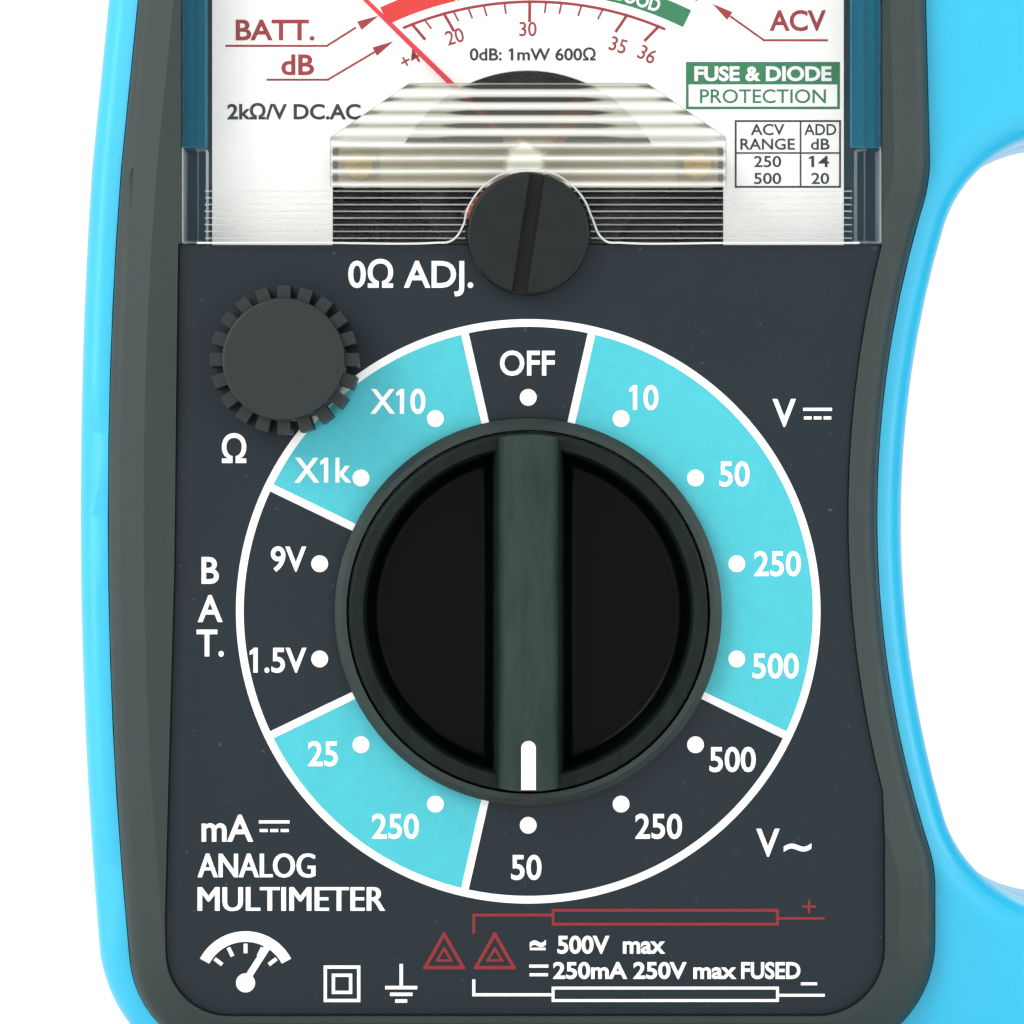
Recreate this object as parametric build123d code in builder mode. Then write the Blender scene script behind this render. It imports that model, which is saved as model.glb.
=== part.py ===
"""Hand-held analog multimeter with a closed side handle, as an assembly of separate pieces, in millimetres.

The meter stands on its bottom end: +Z is up, the dial faces -Y and the handle is on the +X side. The origin
is on the bottom face, under the middle of the dial panel. Depths are given as f, the distance in front of
the origin plane, so f = -y: the back of the case is at a negative f and the dial at a positive one.
"""

from math import cos, radians, sin
import os

from build123d import *

os.makedirs("parts", exist_ok=True)

# ---------------------------------------------------------------- driving dimensions
HEIGHT = 142.0  # bottom face to top of the case
SYMMETRY_Z = 59.7  # height about which the side waist and the handle are symmetric
WALL = 2.2  # wall of the blue shells
SEAM = 0.35  # chamfer that leaves a fine groove where the shells meet
GAP = 0.15  # assembly gap round the black front case

F_BACK = -18.0  # rear face
F_SPLIT = -3.0  # where the two blue shells meet
F_LEDGE = 7.3  # underside of the ledge that carries the black front case
F_SEAT = 8.8  # top of that ledge
F_SHELL = 11.0  # front of the blue shell
F_PLATE = 12.0  # underside of the front case's face plate
F_RECESS = 13.5  # floor of the recess that takes the printed panel
F_PANEL = 14.0  # printed surface of the panel
F_BEZEL = 15.0  # front of the black bezel

# selector switch
KNOB_Z = 50.3
KNOB_R = 18.7
COLLAR_R = 20.2
POSITIONS = 14
F_RIM = 17.0
F_KNOB_FLOOR = 13.2
F_COLLAR = 16.5
F_RIDGE = 21.5
RIDGE_W = 6.2
SHAFT_R = 3.5
ROTOR_R = 22.5
BALL_R = 1.2
BALL_CIRCLE_R = 21.0
DIMPLE = 0.25

# ohm adjuster
OHM_X, OHM_Z = -25.2, 76.4
OHM_R = 6.3
OHM_RIB_R = 7.65
OHM_RIBS = 20
F_OHM_BASE, F_OHM_TOP = 14.4, 22.0
POT_R = 8.0
POT_SHAFT_R = 2.95
PIN_OFFSETS = (-5.0, 0.0, 5.0)
PIN_Z = OHM_Z - 9.7

# meter: window, scale and movement
WINDOW_LEFT, WINDOW_RIGHT = -36.3, 37.0
WINDOW_BOTTOM, WINDOW_TOP = 88.7, 133.5
F_WINDOW = 15.2
WINDOW_T = 1.8
SCALE_HALF = 33.6
F_SCALE = 7.2
SCALE_T = 0.6
F_TRAY = -7.2  # front of the movement's back plate
PIVOT_Z = 98.2
NEEDLE_REST = 45.6  # degrees left of upright
NEEDLE_LENGTH = 33.5
ARCH_R, ARCH_Z = 15.0, 92.7
NOTCH_HALF, NOTCH_TOP = 20.8, 99.8
ZERO_Z = 89.7
ZERO_R = 6.35
ZERO_SLOT_ANGLE, ZERO_SLOT_W = -8.7, 1.6
F_ZERO = 16.8
F_ARM, ARM_T = 9.0, 0.4
ECCENTRIC = 1.2

# circuit board, battery and sockets
F_BOARD = 6.0
BOARD_T = 1.6
BATTERY_Z, F_BATTERY = 40.0, -8.9
BATTERY_R, BATTERY_LENGTH = 7.1, 49.5
SOCKET_X = 9.5  # half of the usual 19 mm plug spacing
SOCKET_BORE_R = 2.02
SLEEVE_R = 2.9
INSULATOR_R = 5.5
INSULATOR_SEAT_R = INSULATOR_R + 0.15

# screws: radius of the shank, of its pilot hole and of its head
CASE_SCREW_R, CASE_PILOT_R = 1.2, 1.25
SMALL_SCREW_R, SMALL_PILOT_R, SMALL_HEAD_R = 0.9, 0.95, 1.9
F_COUNTERBORE = -12.0  # floor of the counterbores that take the case screws
SLIM_ABOVE = 130  # screw towers higher than this are slimmer, to clear the rounded top corners

CASE_BOSSES = [(-35.5, 18.0), (35.5, 18.0), (-30.0, 134.6), (30.0, 134.6)]
HANDLE_BOSSES = [(80.5, 24.0), (80.5, 95.0)]
BOARD_POSTS = [(-33.0, 62.0), (-33.0, 30.0), (29.5, 80.0), (29.5, 30.0)]
SCALE_POST_X, SCALE_POST_Z = 29.5, 127.5
BRIDGE_SCREW_X, BRIDGE_SCREW_Z = 17.8, 97.1
MOVEMENT_POSTS = [(-27.0, 86.6), (27.0, 86.6), (-14.0, 135.2), (14.0, 135.2)]


# ---------------------------------------------------------------- helpers
def layer(f):
    """The sketch plane that faces the user at depth f, with X to the right and Z up."""
    return Plane.XZ.offset(f)


def peg(x, z, radius, f0, f1, mode=Mode.ADD):
    """A round bar, or a hole, along the front-to-back direction of the open part."""
    middle = Plane(origin=(x, -(f0 + f1) / 2, z), x_dir=(1, 0, 0), z_dir=(0, -1, 0))
    with Locations(middle):
        Cylinder(radius, f1 - f0, mode=mode)


def block(x0, x1, z0, z1, f0, f1, mode=Mode.ADD):
    """A square-edged block of the open part, between the given faces."""
    with Locations(((x0 + x1) / 2, -(f0 + f1) / 2, (z0 + z1) / 2)):
        Box(x1 - x0, f1 - f0, z1 - z0, mode=mode)


def around(x, z, radius, degrees):
    """The point at a radius from (x, z), at an angle clockwise from straight up."""
    return x + radius * sin(radians(degrees)), z + radius * cos(radians(degrees))


def corner(sketch, x, z):
    """The vertex of a sketch nearest to (x, z)."""
    return sketch.vertices().sort_by_distance((x, z, 0))[0]


# ---------------------------------------------------------------- outlines, drawn as seen from the front
BODY_LEFT, BODY_RIGHT = -47.6, 45.3
HANDLE_RIGHT = 88.5
HANDLE_TOP = 119.5
HOLE_LEFT, HOLE_RIGHT = 39.7, 72.5
HOLE_HALF = 41.3

with BuildSketch() as blue_outline:
    with BuildLine():
        side = ThreePointArc((-44.2, 0), (BODY_LEFT, SYMMETRY_Z), (-46.4, 97.0))
        Polyline(side @ 1, (-41.9, HEIGHT), (BODY_RIGHT - 1.5, HEIGHT), (BODY_RIGHT, 0), side @ 0)
    make_face()
    with BuildLine():
        bow = ThreePointArc((82, 0), (HANDLE_RIGHT, SYMMETRY_Z), (80, HANDLE_TOP))
        Polyline(bow @ 1, (30, HANDLE_TOP + 3), (30, 0), bow @ 0)
    make_face()
    fillet(corner(blue_outline, -44.2, 0), 16)
    fillet(corner(blue_outline, -41.9, HEIGHT), 15)
    fillet(corner(blue_outline, BODY_RIGHT - 1.5, HEIGHT), 11.5)
    fillet(corner(blue_outline, 82, 0), 24)
    fillet(corner(blue_outline, 80, HANDLE_TOP), 26)
    fillet(corner(blue_outline, BODY_RIGHT, HANDLE_TOP + 2), 7.5)

with BuildSketch() as handle_hole:
    lower, upper = SYMMETRY_Z - HOLE_HALF, SYMMETRY_Z + HOLE_HALF
    with BuildLine():
        waist = ThreePointArc((HOLE_LEFT + 8, lower), (HOLE_LEFT, SYMMETRY_Z), (HOLE_LEFT + 8, upper))
        grip = ThreePointArc((HOLE_RIGHT - 3.5, upper), (HOLE_RIGHT, SYMMETRY_Z), (HOLE_RIGHT - 3.5, lower))
        Line(waist @ 1, grip @ 0)
        Line(grip @ 1, waist @ 0)
    make_face()
    fillet(handle_hole.vertices().group_by(Axis.X)[0], 14)
    fillet(handle_hole.vertices().sort_by(Axis.X)[-2:], 11)

with BuildSketch() as cavity_outline:
    add(blue_outline.sketch)
    offset(amount=-WALL)
with BuildSketch() as hole_wall:
    add(handle_hole.sketch)
    offset(amount=WALL)

with BuildSketch() as case_outline:
    with BuildLine():
        side = ThreePointArc((-40.8, 3.4), (-44.2, SYMMETRY_Z), (-42.8, 97.0))
        waist = ThreePointArc((42.8, 23.5), (36.7, SYMMETRY_Z), (42.3, 95.5))
        Polyline(side @ 1, (-38.6, 139.0), (41.2, 139.0), waist @ 1)
        Polyline(waist @ 0, (42.8, 3.4), side @ 0)
    make_face()
    fillet(corner(case_outline, -40.8, 3.4), 11)
    fillet(corner(case_outline, 42.8, 3.4), 12)
    fillet(corner(case_outline, -38.6, 139), 11)
    fillet(corner(case_outline, 41.2, 139), 10)
    fillet(corner(case_outline, 42.8, 23.5), 14)
    fillet(corner(case_outline, 42.3, 95.5), 16)

with BuildSketch() as panel_outline:
    with BuildLine():
        waist = ThreePointArc((37.0, 31.5), (33.4, SYMMETRY_Z), (36.9, WINDOW_BOTTOM - 0.05))
        Polyline(waist @ 1, (-36.5, WINDOW_BOTTOM - 0.05), (-36.9, 55), (-37.9, 18), (-37.6, 8.1))
        Polyline((-37.6, 8.1), (37.2, 8.1), (37.2, 26), waist @ 0)
    make_face()
    fillet(corner(panel_outline, -37.6, 8.1), 6.5)
    fillet(corner(panel_outline, 37.2, 8.1), 7)
    fillet(corner(panel_outline, -37.9, 18), 30)

with BuildSketch() as window_outline:
    with Locations(((WINDOW_LEFT + WINDOW_RIGHT) / 2, (WINDOW_BOTTOM + WINDOW_TOP) / 2)):
        Rectangle(WINDOW_RIGHT - WINDOW_LEFT, WINDOW_TOP - WINDOW_BOTTOM)
    fillet(window_outline.vertices().group_by(Axis.Y)[-1], 3)

# ---------------------------------------------------------------- blue rear shell, with the battery tub
COVER_HALF, COVER_BOTTOM, COVER_TOP = 32.0, 28.5, 58.5
F_COVER = -16.2  # inner face of the battery cover
F_PAD = -14.2  # inner face of the thick pad round the battery cover
COVER_GAP = 0.1
TUB_HALF, TUB_BOTTOM, TUB_TOP = 27.4, 32.0, 48.0
TUB_WALL = 1.6
F_TUB = -1.2
COVER_SCREW_Z = 54.2

with BuildPart() as rear_shell:
    with BuildSketch(layer(F_BACK)):
        add(blue_outline.sketch)
        add(handle_hole.sketch, mode=Mode.SUBTRACT)
    extrude(amount=F_SPLIT - F_BACK)
    fillet(rear_shell.edges().group_by(Axis.Y)[-1], 4.5)
    chamfer(rear_shell.edges().group_by(Axis.Y)[0], SEAM)
    with BuildSketch(layer(F_BACK + WALL)):
        add(cavity_outline.sketch)
        add(hole_wall.sketch, mode=Mode.SUBTRACT)
    extrude(amount=F_SPLIT - F_BACK - WALL, mode=Mode.SUBTRACT)
    # thicker pad round the battery cover, and the tub that holds the cell
    block(-COVER_HALF - 2, COVER_HALF + 2, COVER_BOTTOM - 2, COVER_TOP + 2, F_BACK + WALL, F_PAD)
    tub_side, tub_low, tub_high = TUB_HALF + TUB_WALL, TUB_BOTTOM - TUB_WALL, TUB_TOP + TUB_WALL
    block(-tub_side, tub_side, tub_low, tub_high, F_PAD, F_TUB + TUB_WALL)
    peg(0, COVER_SCREW_Z, 3.6, F_PAD, -5.0)
    lid_side, lid_low, lid_high = COVER_HALF + COVER_GAP, COVER_BOTTOM - COVER_GAP, COVER_TOP + COVER_GAP
    block(-lid_side, lid_side, lid_low, lid_high, F_BACK, F_COVER, Mode.SUBTRACT)
    block(-TUB_HALF, TUB_HALF, TUB_BOTTOM, TUB_TOP, F_COVER, F_TUB, Mode.SUBTRACT)
    peg(0, COVER_SCREW_Z, 1.1, F_COVER, -7.0, Mode.SUBTRACT)
    # screw towers, counterbored from behind
    for x, z in CASE_BOSSES + HANDLE_BOSSES:
        peg(x, z, 4.2 if z < SLIM_ABOVE else 3.6, F_BACK + WALL, F_SPLIT)
    for x, z in CASE_BOSSES + HANDLE_BOSSES:
        peg(x, z, 3.0 if z < SLIM_ABOVE else 2.8, F_BACK, F_COUNTERBORE, Mode.SUBTRACT)
        peg(x, z, CASE_SCREW_R + 0.3, F_COUNTERBORE, F_SPLIT, Mode.SUBTRACT)
    # half holes for the two sockets
    for x in (-SOCKET_X, SOCKET_X):
        with Locations((x, -F_SPLIT, WALL / 2)):
            Cylinder(INSULATOR_SEAT_R, 2 * WALL, mode=Mode.SUBTRACT)

# ---------------------------------------------------------------- blue front shell
RAIL_BOTTOM, RAIL_TOP = 99.6, 129.0
F_RAIL, RAIL_T = 3.0, 2.8

with BuildPart() as front_shell:
    with BuildSketch(layer(F_SPLIT)):
        add(blue_outline.sketch)
        add(handle_hole.sketch, mode=Mode.SUBTRACT)
    extrude(amount=F_SHELL - F_SPLIT)
    fillet(front_shell.edges().group_by(Axis.Y)[0], 4.0)
    chamfer(front_shell.edges().group_by(Axis.Y)[-1], SEAM)
    with BuildSketch(layer(F_SPLIT)):
        add(cavity_outline.sketch)
        add(hole_wall.sketch, mode=Mode.SUBTRACT)
    extrude(amount=F_LEDGE - F_SPLIT, mode=Mode.SUBTRACT)
    with BuildSketch(layer(F_LEDGE)):
        add(case_outline.sketch)
        offset(amount=-1.6)
    extrude(amount=F_SEAT - F_LEDGE, mode=Mode.SUBTRACT)
    with BuildSketch(layer(F_SEAT)):
        add(case_outline.sketch)
        offset(amount=GAP)
    extrude(amount=F_SHELL - F_SEAT, mode=Mode.SUBTRACT)
    # rails beside the scale plate
    block(-42.2, -34.2, RAIL_BOTTOM, RAIL_TOP, F_RAIL, F_RAIL + RAIL_T)
    block(34.4, 42.8, RAIL_BOTTOM, RAIL_TOP, F_RAIL, F_RAIL + RAIL_T)
    for x, z in HANDLE_BOSSES:
        peg(x, z, 3.6, F_SPLIT, F_LEDGE)
        peg(x, z, CASE_PILOT_R, F_SPLIT, 5.5, Mode.SUBTRACT)
    for x in (-SOCKET_X, SOCKET_X):
        with Locations((x, -F_SPLIT, WALL / 2)):
            Cylinder(INSULATOR_SEAT_R, 2 * WALL, mode=Mode.SUBTRACT)

# ---------------------------------------------------------------- black front case with its knob collar
BEZEL_SLOPE, BEZEL_DROP, BEZEL_ROLL = 4.0, 2.0, 2.6

with BuildPart() as front_case:
    with BuildSketch(layer(F_SEAT)):
        add(case_outline.sketch)
    extrude(amount=F_BEZEL - F_SEAT)
    front = front_case.faces().sort_by(Axis.Y)[0]
    chamfer(front.outer_wire().edges(), length=BEZEL_SLOPE, length2=BEZEL_DROP, reference=front)
    slope_foot = front_case.edges().filter_by(lambda e: abs(e.center().Y + F_BEZEL - BEZEL_DROP) < 0.01)
    fillet(slope_foot, BEZEL_ROLL)
    with BuildSketch(layer(F_RECESS)):
        add(panel_outline.sketch)
        offset(amount=0.1)
    extrude(amount=F_BEZEL - F_RECESS, mode=Mode.SUBTRACT)
    with BuildSketch(layer(F_SEAT)):
        add(case_outline.sketch)
        offset(amount=-1.9)
    extrude(amount=F_PLATE - F_SEAT, mode=Mode.SUBTRACT)
    with BuildSketch(layer(F_PLATE)):
        add(window_outline.sketch)
    extrude(amount=F_BEZEL - F_PLATE, mode=Mode.SUBTRACT)
    # collar round the selector, and the holes for the controls
    peg(0, KNOB_Z, COLLAR_R, F_RECESS, F_COLLAR)
    chamfer(front_case.edges().filter_by(GeomType.CIRCLE).sort_by(Axis.Y)[0], 0.7)
    peg(0, KNOB_Z, KNOB_R + 0.25, F_PLATE, F_COLLAR, Mode.SUBTRACT)
    peg(OHM_X, OHM_Z, 4.5, F_PLATE, F_RECESS, Mode.SUBTRACT)
    peg(0, ZERO_Z, 4.2, F_PLATE, F_RECESS, Mode.SUBTRACT)
    # detent dimples on the back of the face plate, one for each switch position
    for step in range(POSITIONS):
        x, z = around(0, KNOB_Z, BALL_CIRCLE_R, step * 360 / POSITIONS)
        with Locations((x, DIMPLE + BALL_R - F_PLATE - 2 * DIMPLE, z)):
            Sphere(BALL_R, mode=Mode.SUBTRACT)
    for x, z in CASE_BOSSES:
        peg(x, z, 3.2 if z < SLIM_ABOVE else 2.5, F_SPLIT, F_PLATE)
        peg(x, z, CASE_PILOT_R, F_SPLIT, 6.0, Mode.SUBTRACT)
    for x, z in BOARD_POSTS:
        peg(x, z, 2.2, F_BOARD, F_PLATE)
        peg(x, z, SMALL_PILOT_R, F_BOARD, 11.0, Mode.SUBTRACT)
    for x, z in MOVEMENT_POSTS:
        peg(x, z, 1.9, F_TRAY, F_PLATE)
        peg(x, z, SMALL_PILOT_R, F_TRAY, 0.0, Mode.SUBTRACT)

# ---------------------------------------------------------------- printed panel
with BuildPart() as printed_panel:
    with BuildSketch(layer(F_RECESS)):
        add(panel_outline.sketch)
        with Locations((0, KNOB_Z)):
            Circle(COLLAR_R + 0.1, mode=Mode.SUBTRACT)
        with Locations((OHM_X, OHM_Z)):
            Circle(4.3, mode=Mode.SUBTRACT)
        with Locations((0, ZERO_Z)):
            Circle(4.2, mode=Mode.SUBTRACT)
    extrude(amount=F_PANEL - F_RECESS)

# ---------------------------------------------------------------- clear meter window with its lens ribs
RIB_DEPTH, RIB_R, RIB_PITCH = 0.35, 0.62, 1.36
FINE_DEPTH, FINE_R, FINE_PITCH, FINE_HALF = 0.2, 0.36, 0.7, 33.8
F_WINDOW_TAB = 12.2
LENS_HALF, LENS_TOP_HALF = 20.7, 12.4
LENS_SHOULDER, LENS_TOP = 99.8, 105.3
BAND_TOP = 94.8
F_WINDOW_BACK = F_WINDOW - WINDOW_T
window_left, window_right = WINDOW_LEFT + 0.1, WINDOW_RIGHT - 0.1


def lens_half_width(z):
    """Half the width of the ribbed trapezium over the movement at height z."""
    if z < LENS_SHOULDER:
        return LENS_HALF
    share = (z - LENS_SHOULDER) / (LENS_TOP - LENS_SHOULDER)
    return LENS_HALF + share * (LENS_TOP_HALF - LENS_HALF)


def rib(x0, x1, z, radius, depth):
    """A part-round lens rib on the back of the window, along X."""
    middle = ((x0 + x1) / 2, -(F_WINDOW_BACK + radius - depth), z)
    with Locations(Plane(origin=middle, z_dir=(1, 0, 0))):
        Cylinder(radius, x1 - x0)


with BuildPart() as meter_window:
    with BuildSketch(layer(F_WINDOW_BACK)):
        add(window_outline.sketch)
        offset(amount=-0.1)
    extrude(amount=WINDOW_T)
    front = meter_window.faces().sort_by(Axis.Y)[0]
    fillet(front.edges(), 0.4)
    # side walls with a lip that snaps behind the face plate
    for side in (-1, 1):
        edge = window_left if side < 0 else window_right
        inner = edge - side * 1.2
        x0, x1 = min(edge, inner), max(edge, inner)
        block(x0, x1, 88.9, 131.0, 7.6, F_WINDOW_BACK)
        lip = edge + side * 1.0
        block(min(edge, lip), max(edge, lip), 100.0, 126.0, 10.4, 11.8)
        foot = edge - side * 2.4
        block(min(edge, foot), max(edge, foot), 88.9, 98.8, 9.4, F_WINDOW_BACK)
    # ribs that blur the movement: coarse over the trapezium, fine along the bottom edge
    z = BAND_TOP + 0.8
    while z < LENS_TOP - 0.5:
        half = lens_half_width(z + 0.5)
        rib(-half, half, z, RIB_R, RIB_DEPTH)
        z += RIB_PITCH
    z = WINDOW_BOTTOM + 0.6
    while z < BAND_TOP:
        rib(-FINE_HALF, FINE_HALF, z, FINE_R, FINE_DEPTH)
        z += FINE_PITCH
    # round seat for the zero screw, and the tab below the edge that holds its stem
    peg(0, ZERO_Z, 4.0, F_WINDOW_TAB, F_PANEL)
    peg(0, ZERO_Z, ZERO_R + 0.2, F_PANEL, F_WINDOW, Mode.SUBTRACT)
    peg(0, ZERO_Z, 1.65, F_WINDOW_TAB, F_PANEL, Mode.SUBTRACT)

# ---------------------------------------------------------------- zero adjuster in the window
with BuildPart() as zero_adjust_screw:
    peg(0, ZERO_Z, ZERO_R, F_PANEL + 0.2, F_ZERO)
    fillet(zero_adjust_screw.edges().filter_by(GeomType.CIRCLE).sort_by(Axis.Y)[0], 0.35)
    with Locations(Plane(origin=(0, -F_ZERO, ZERO_Z), x_dir=(1, 0, 0), z_dir=(0, -1, 0))):
        Box(ZERO_SLOT_W, 2 * ZERO_R + 1, 2.4, rotation=(0, 0, ZERO_SLOT_ANGLE), mode=Mode.SUBTRACT)
    peg(0, ZERO_Z, 1.6, 12.0, F_PANEL + 0.2)
    peg(0, ZERO_Z, 2.1, 11.4, 12.1)
    peg(0, ZERO_Z + ECCENTRIC, 0.5, 8.8, 11.4)

with BuildPart() as zero_adjust_arm:
    peg(0, PIVOT_Z, 2.6, F_ARM, F_ARM + ARM_T)
    block(-1.3, 1.3, ZERO_Z + 0.1, PIVOT_Z - 2.0, F_ARM, F_ARM + ARM_T)
    block(-0.7, 0.7, ZERO_Z, ZERO_Z + 2.4, F_ARM, F_ARM + ARM_T, Mode.SUBTRACT)
    peg(0, PIVOT_Z, 1.27, F_ARM, F_ARM + ARM_T, Mode.SUBTRACT)

# ---------------------------------------------------------------- scale plate
with BuildPart() as scale_plate:
    with BuildSketch(layer(F_SCALE - SCALE_T)):
        with Locations((0, 110.3)):
            Rectangle(2 * SCALE_HALF, 42.4)
        with Locations((0, NOTCH_TOP - 10)):
            Rectangle(2 * NOTCH_HALF, 20, mode=Mode.SUBTRACT)
        with Locations((0, ARCH_Z)):
            Circle(ARCH_R, mode=Mode.SUBTRACT)
        with Locations((-SCALE_POST_X, SCALE_POST_Z), (SCALE_POST_X, SCALE_POST_Z)):
            Circle(1.0, mode=Mode.SUBTRACT)
    extrude(amount=SCALE_T)

# ---------------------------------------------------------------- moving-coil movement
MAGNET_R = 6.6
YOKE_IN, YOKE_OUT = 9.6, 12.4
F_MAGNET0, F_MAGNET1 = -4.5, 3.5
COIL_IN, COIL_OUT, COIL_W = 7.3, 8.9, 2.4
TRAY_T, TRAY_BOTTOM, TRAY_TOP = 1.8, 84.8, 138.6
BRIDGE_HALF, BRIDGE_BOTTOM, BRIDGE_TOP = 20.0, 94.9, 99.3
F_BRIDGE, F_BRIDGE_TOP = 10.0, 11.4
JEWEL_R = 1.2

with BuildPart() as movement_frame:
    block(-26, 26, TRAY_BOTTOM, TRAY_TOP, F_TRAY - TRAY_T, F_TRAY)
    block(-29.6, 29.6, TRAY_BOTTOM, 90.0, F_TRAY - TRAY_T, F_TRAY)
    for x in (-SCALE_POST_X, SCALE_POST_X):
        low, high = sorted((x * 1.07, x * 0.86))
        block(low, high, SCALE_POST_Z - 3, SCALE_POST_Z + 3, F_TRAY - TRAY_T, F_TRAY)
        peg(x, SCALE_POST_Z, 2.2, F_TRAY, F_SCALE - SCALE_T)
        peg(x, SCALE_POST_Z, 0.8, -2.0, F_SCALE - SCALE_T, Mode.SUBTRACT)
    peg(0, PIVOT_Z, YOKE_OUT, F_TRAY, F_MAGNET0)
    peg(0, PIVOT_Z, YOKE_IN + 0.6, F_TRAY, F_MAGNET0, Mode.SUBTRACT)
    for side in (-1, 1):
        low, high = sorted((side * BRIDGE_HALF, side * 15.6))
        block(low, high, BRIDGE_BOTTOM, BRIDGE_TOP, F_TRAY, F_BRIDGE)
        peg(side * BRIDGE_SCREW_X, BRIDGE_SCREW_Z, 0.7, 4.0, F_BRIDGE, Mode.SUBTRACT)
    for x, z in MOVEMENT_POSTS:
        peg(x, z, 1.15, F_TRAY - TRAY_T, F_TRAY, Mode.SUBTRACT)
    peg(0, PIVOT_Z, JEWEL_R + 0.05, F_TRAY - TRAY_T, F_TRAY, Mode.SUBTRACT)

with BuildPart() as magnet_yoke:
    peg(0, PIVOT_Z, YOKE_OUT, F_MAGNET0, F_MAGNET1)
    peg(0, PIVOT_Z, YOKE_IN, F_MAGNET0, F_MAGNET1, Mode.SUBTRACT)

with BuildPart() as core_magnet:
    peg(0, PIVOT_Z, MAGNET_R, F_MAGNET0, F_MAGNET1)

with BuildPart() as core_holder:
    block(-2.0, 2.0, PIVOT_Z - 11, PIVOT_Z + 11, F_MAGNET0, F_MAGNET1)
    with Locations(Plane(origin=(0, -(F_MAGNET0 + F_MAGNET1) / 2, PIVOT_Z), z_dir=(0, -1, 0))):
        Cylinder(YOKE_IN, F_MAGNET1 - F_MAGNET0, mode=Mode.INTERSECT)
    peg(0, PIVOT_Z, MAGNET_R, F_MAGNET0, F_MAGNET1, Mode.SUBTRACT)

with BuildPart() as bearing_bridge:
    block(-BRIDGE_HALF, BRIDGE_HALF, BRIDGE_BOTTOM, BRIDGE_TOP, F_BRIDGE, F_BRIDGE_TOP)
    fillet(bearing_bridge.edges().filter_by(Axis.Y), 0.8)
    peg(0, PIVOT_Z, 3.0, 9.6, 12.0)
    for side in (-1, 1):
        peg(side * BRIDGE_SCREW_X, BRIDGE_SCREW_Z, 0.85, F_BRIDGE, F_BRIDGE_TOP, Mode.SUBTRACT)
        for x, half, f in ((14.4, 1.3, 12.2), (10.3, 1.1, 12.0)):
            block(side * x - half, side * x + half, BRIDGE_BOTTOM + 0.7, BRIDGE_TOP - 0.7, F_BRIDGE_TOP, f)
    peg(0, PIVOT_Z, JEWEL_R + 0.05, 9.6, 12.0, Mode.SUBTRACT)

with BuildPart() as bridge_screws:
    for side in (-1, 1):
        x, z = side * BRIDGE_SCREW_X, BRIDGE_SCREW_Z
        peg(x, z, 0.65, 4.4, F_BRIDGE_TOP)
        peg(x, z, 1.4, F_BRIDGE_TOP, F_BRIDGE_TOP + 0.9)
        block(x - 1.2, x + 1.2, z - 0.2, z + 0.2, 12.0, F_BRIDGE_TOP + 0.9, Mode.SUBTRACT)

with BuildPart() as front_jewel_screw:
    peg(0, PIVOT_Z, JEWEL_R, 8.9, 12.6)
    block(-1.3, 1.3, PIVOT_Z - 0.2, PIVOT_Z + 0.2, 12.2, 12.6, Mode.SUBTRACT)
    peg(0, PIVOT_Z, 0.45, 8.9, 9.4, Mode.SUBTRACT)

with BuildPart() as rear_jewel_screw:
    peg(0, PIVOT_Z, JEWEL_R, F_TRAY - 2.6, F_TRAY + 0.1)
    peg(0, PIVOT_Z, 0.45, F_TRAY - 0.4, F_TRAY + 0.1, Mode.SUBTRACT)

def coil_plane(f):
    """A plane facing the user on the pivot, turned so that its local Y runs along the pointer."""
    return Plane(origin=(0, -f, PIVOT_Z), x_dir=(1, 0, 0), z_dir=(0, -1, 0)).rotated((0, -NEEDLE_REST, 0))


with BuildPart() as moving_coil:
    with Locations(coil_plane(-0.55)):
        Box(2 * COIL_OUT, COIL_W, 11.7)
        Box(2 * COIL_IN, COIL_W + 1, 9.7, mode=Mode.SUBTRACT)

with BuildPart() as coil_pivots:
    peg(0, PIVOT_Z, 0.5, 5.3, 8.75)
    peg(0, PIVOT_Z, 0.3, 8.7, 9.25)
    peg(0, PIVOT_Z, 0.5, -6.95, -6.4)
    peg(0, PIVOT_Z, 0.3, -7.5, -6.9)

with BuildPart() as needle:
    with BuildSketch(coil_plane(7.8)):
        with BuildLine():
            left = Polyline((-0.3, 0.8), (-0.3, 9.0), (-0.16, NEEDLE_LENGTH))
            right = Polyline((0.16, NEEDLE_LENGTH), (0.3, 9.0), (0.3, 0.8))
            Line(left @ 1, right @ 0)
            Line(right @ 1, left @ 0)
        make_face()
        Circle(1.5)
        with Locations((0, -3.4)):
            Rectangle(0.8, 5.0)
        Rectangle(8.4, 0.7)
        Circle(0.55, mode=Mode.SUBTRACT)
    extrude(amount=0.3)

with BuildPart() as balance_weights:
    for across, along in ((0, -5.4), (-3.9, 0), (3.9, 0)):
        with BuildSketch(coil_plane(7.45)):
            with Locations((across, along)):
                Circle(0.75)
        extrude(amount=0.35)


SPRING_STRIP = 0.12
SPRING_HALF_TURNS = 9
SPRING_START_R, SPRING_STEP = 0.8, 0.14
with BuildSketch() as hairspring_outline:
    with BuildLine():
        for half in range(SPRING_HALF_TURNS):
            shift, start = (-SPRING_STEP, 90) if half % 2 else (0, 270)
            CenterArc((0, shift), SPRING_START_R + half * SPRING_STEP, start, 180)
    trace(line_width=SPRING_STRIP)

with BuildPart() as front_hairspring:
    with BuildSketch(layer(8.55)):
        with Locations((0, PIVOT_Z)):
            add(hairspring_outline.sketch)
    extrude(amount=0.3)

with BuildPart() as rear_hairspring:
    with BuildSketch(layer(-6.95)):
        with Locations((0, PIVOT_Z)):
            add(hairspring_outline.sketch)
    extrude(amount=0.3)

with BuildPart() as scale_screws:
    z = SCALE_POST_Z
    for x in (-SCALE_POST_X, SCALE_POST_X):
        peg(x, z, 0.75, -1.5, F_SCALE)
        peg(x, z, 1.6, F_SCALE, F_SCALE + 0.9)
        block(x - 1.7, x + 1.7, z - 0.25, z + 0.25, F_SCALE + 0.5, F_SCALE + 0.9, Mode.SUBTRACT)

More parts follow.
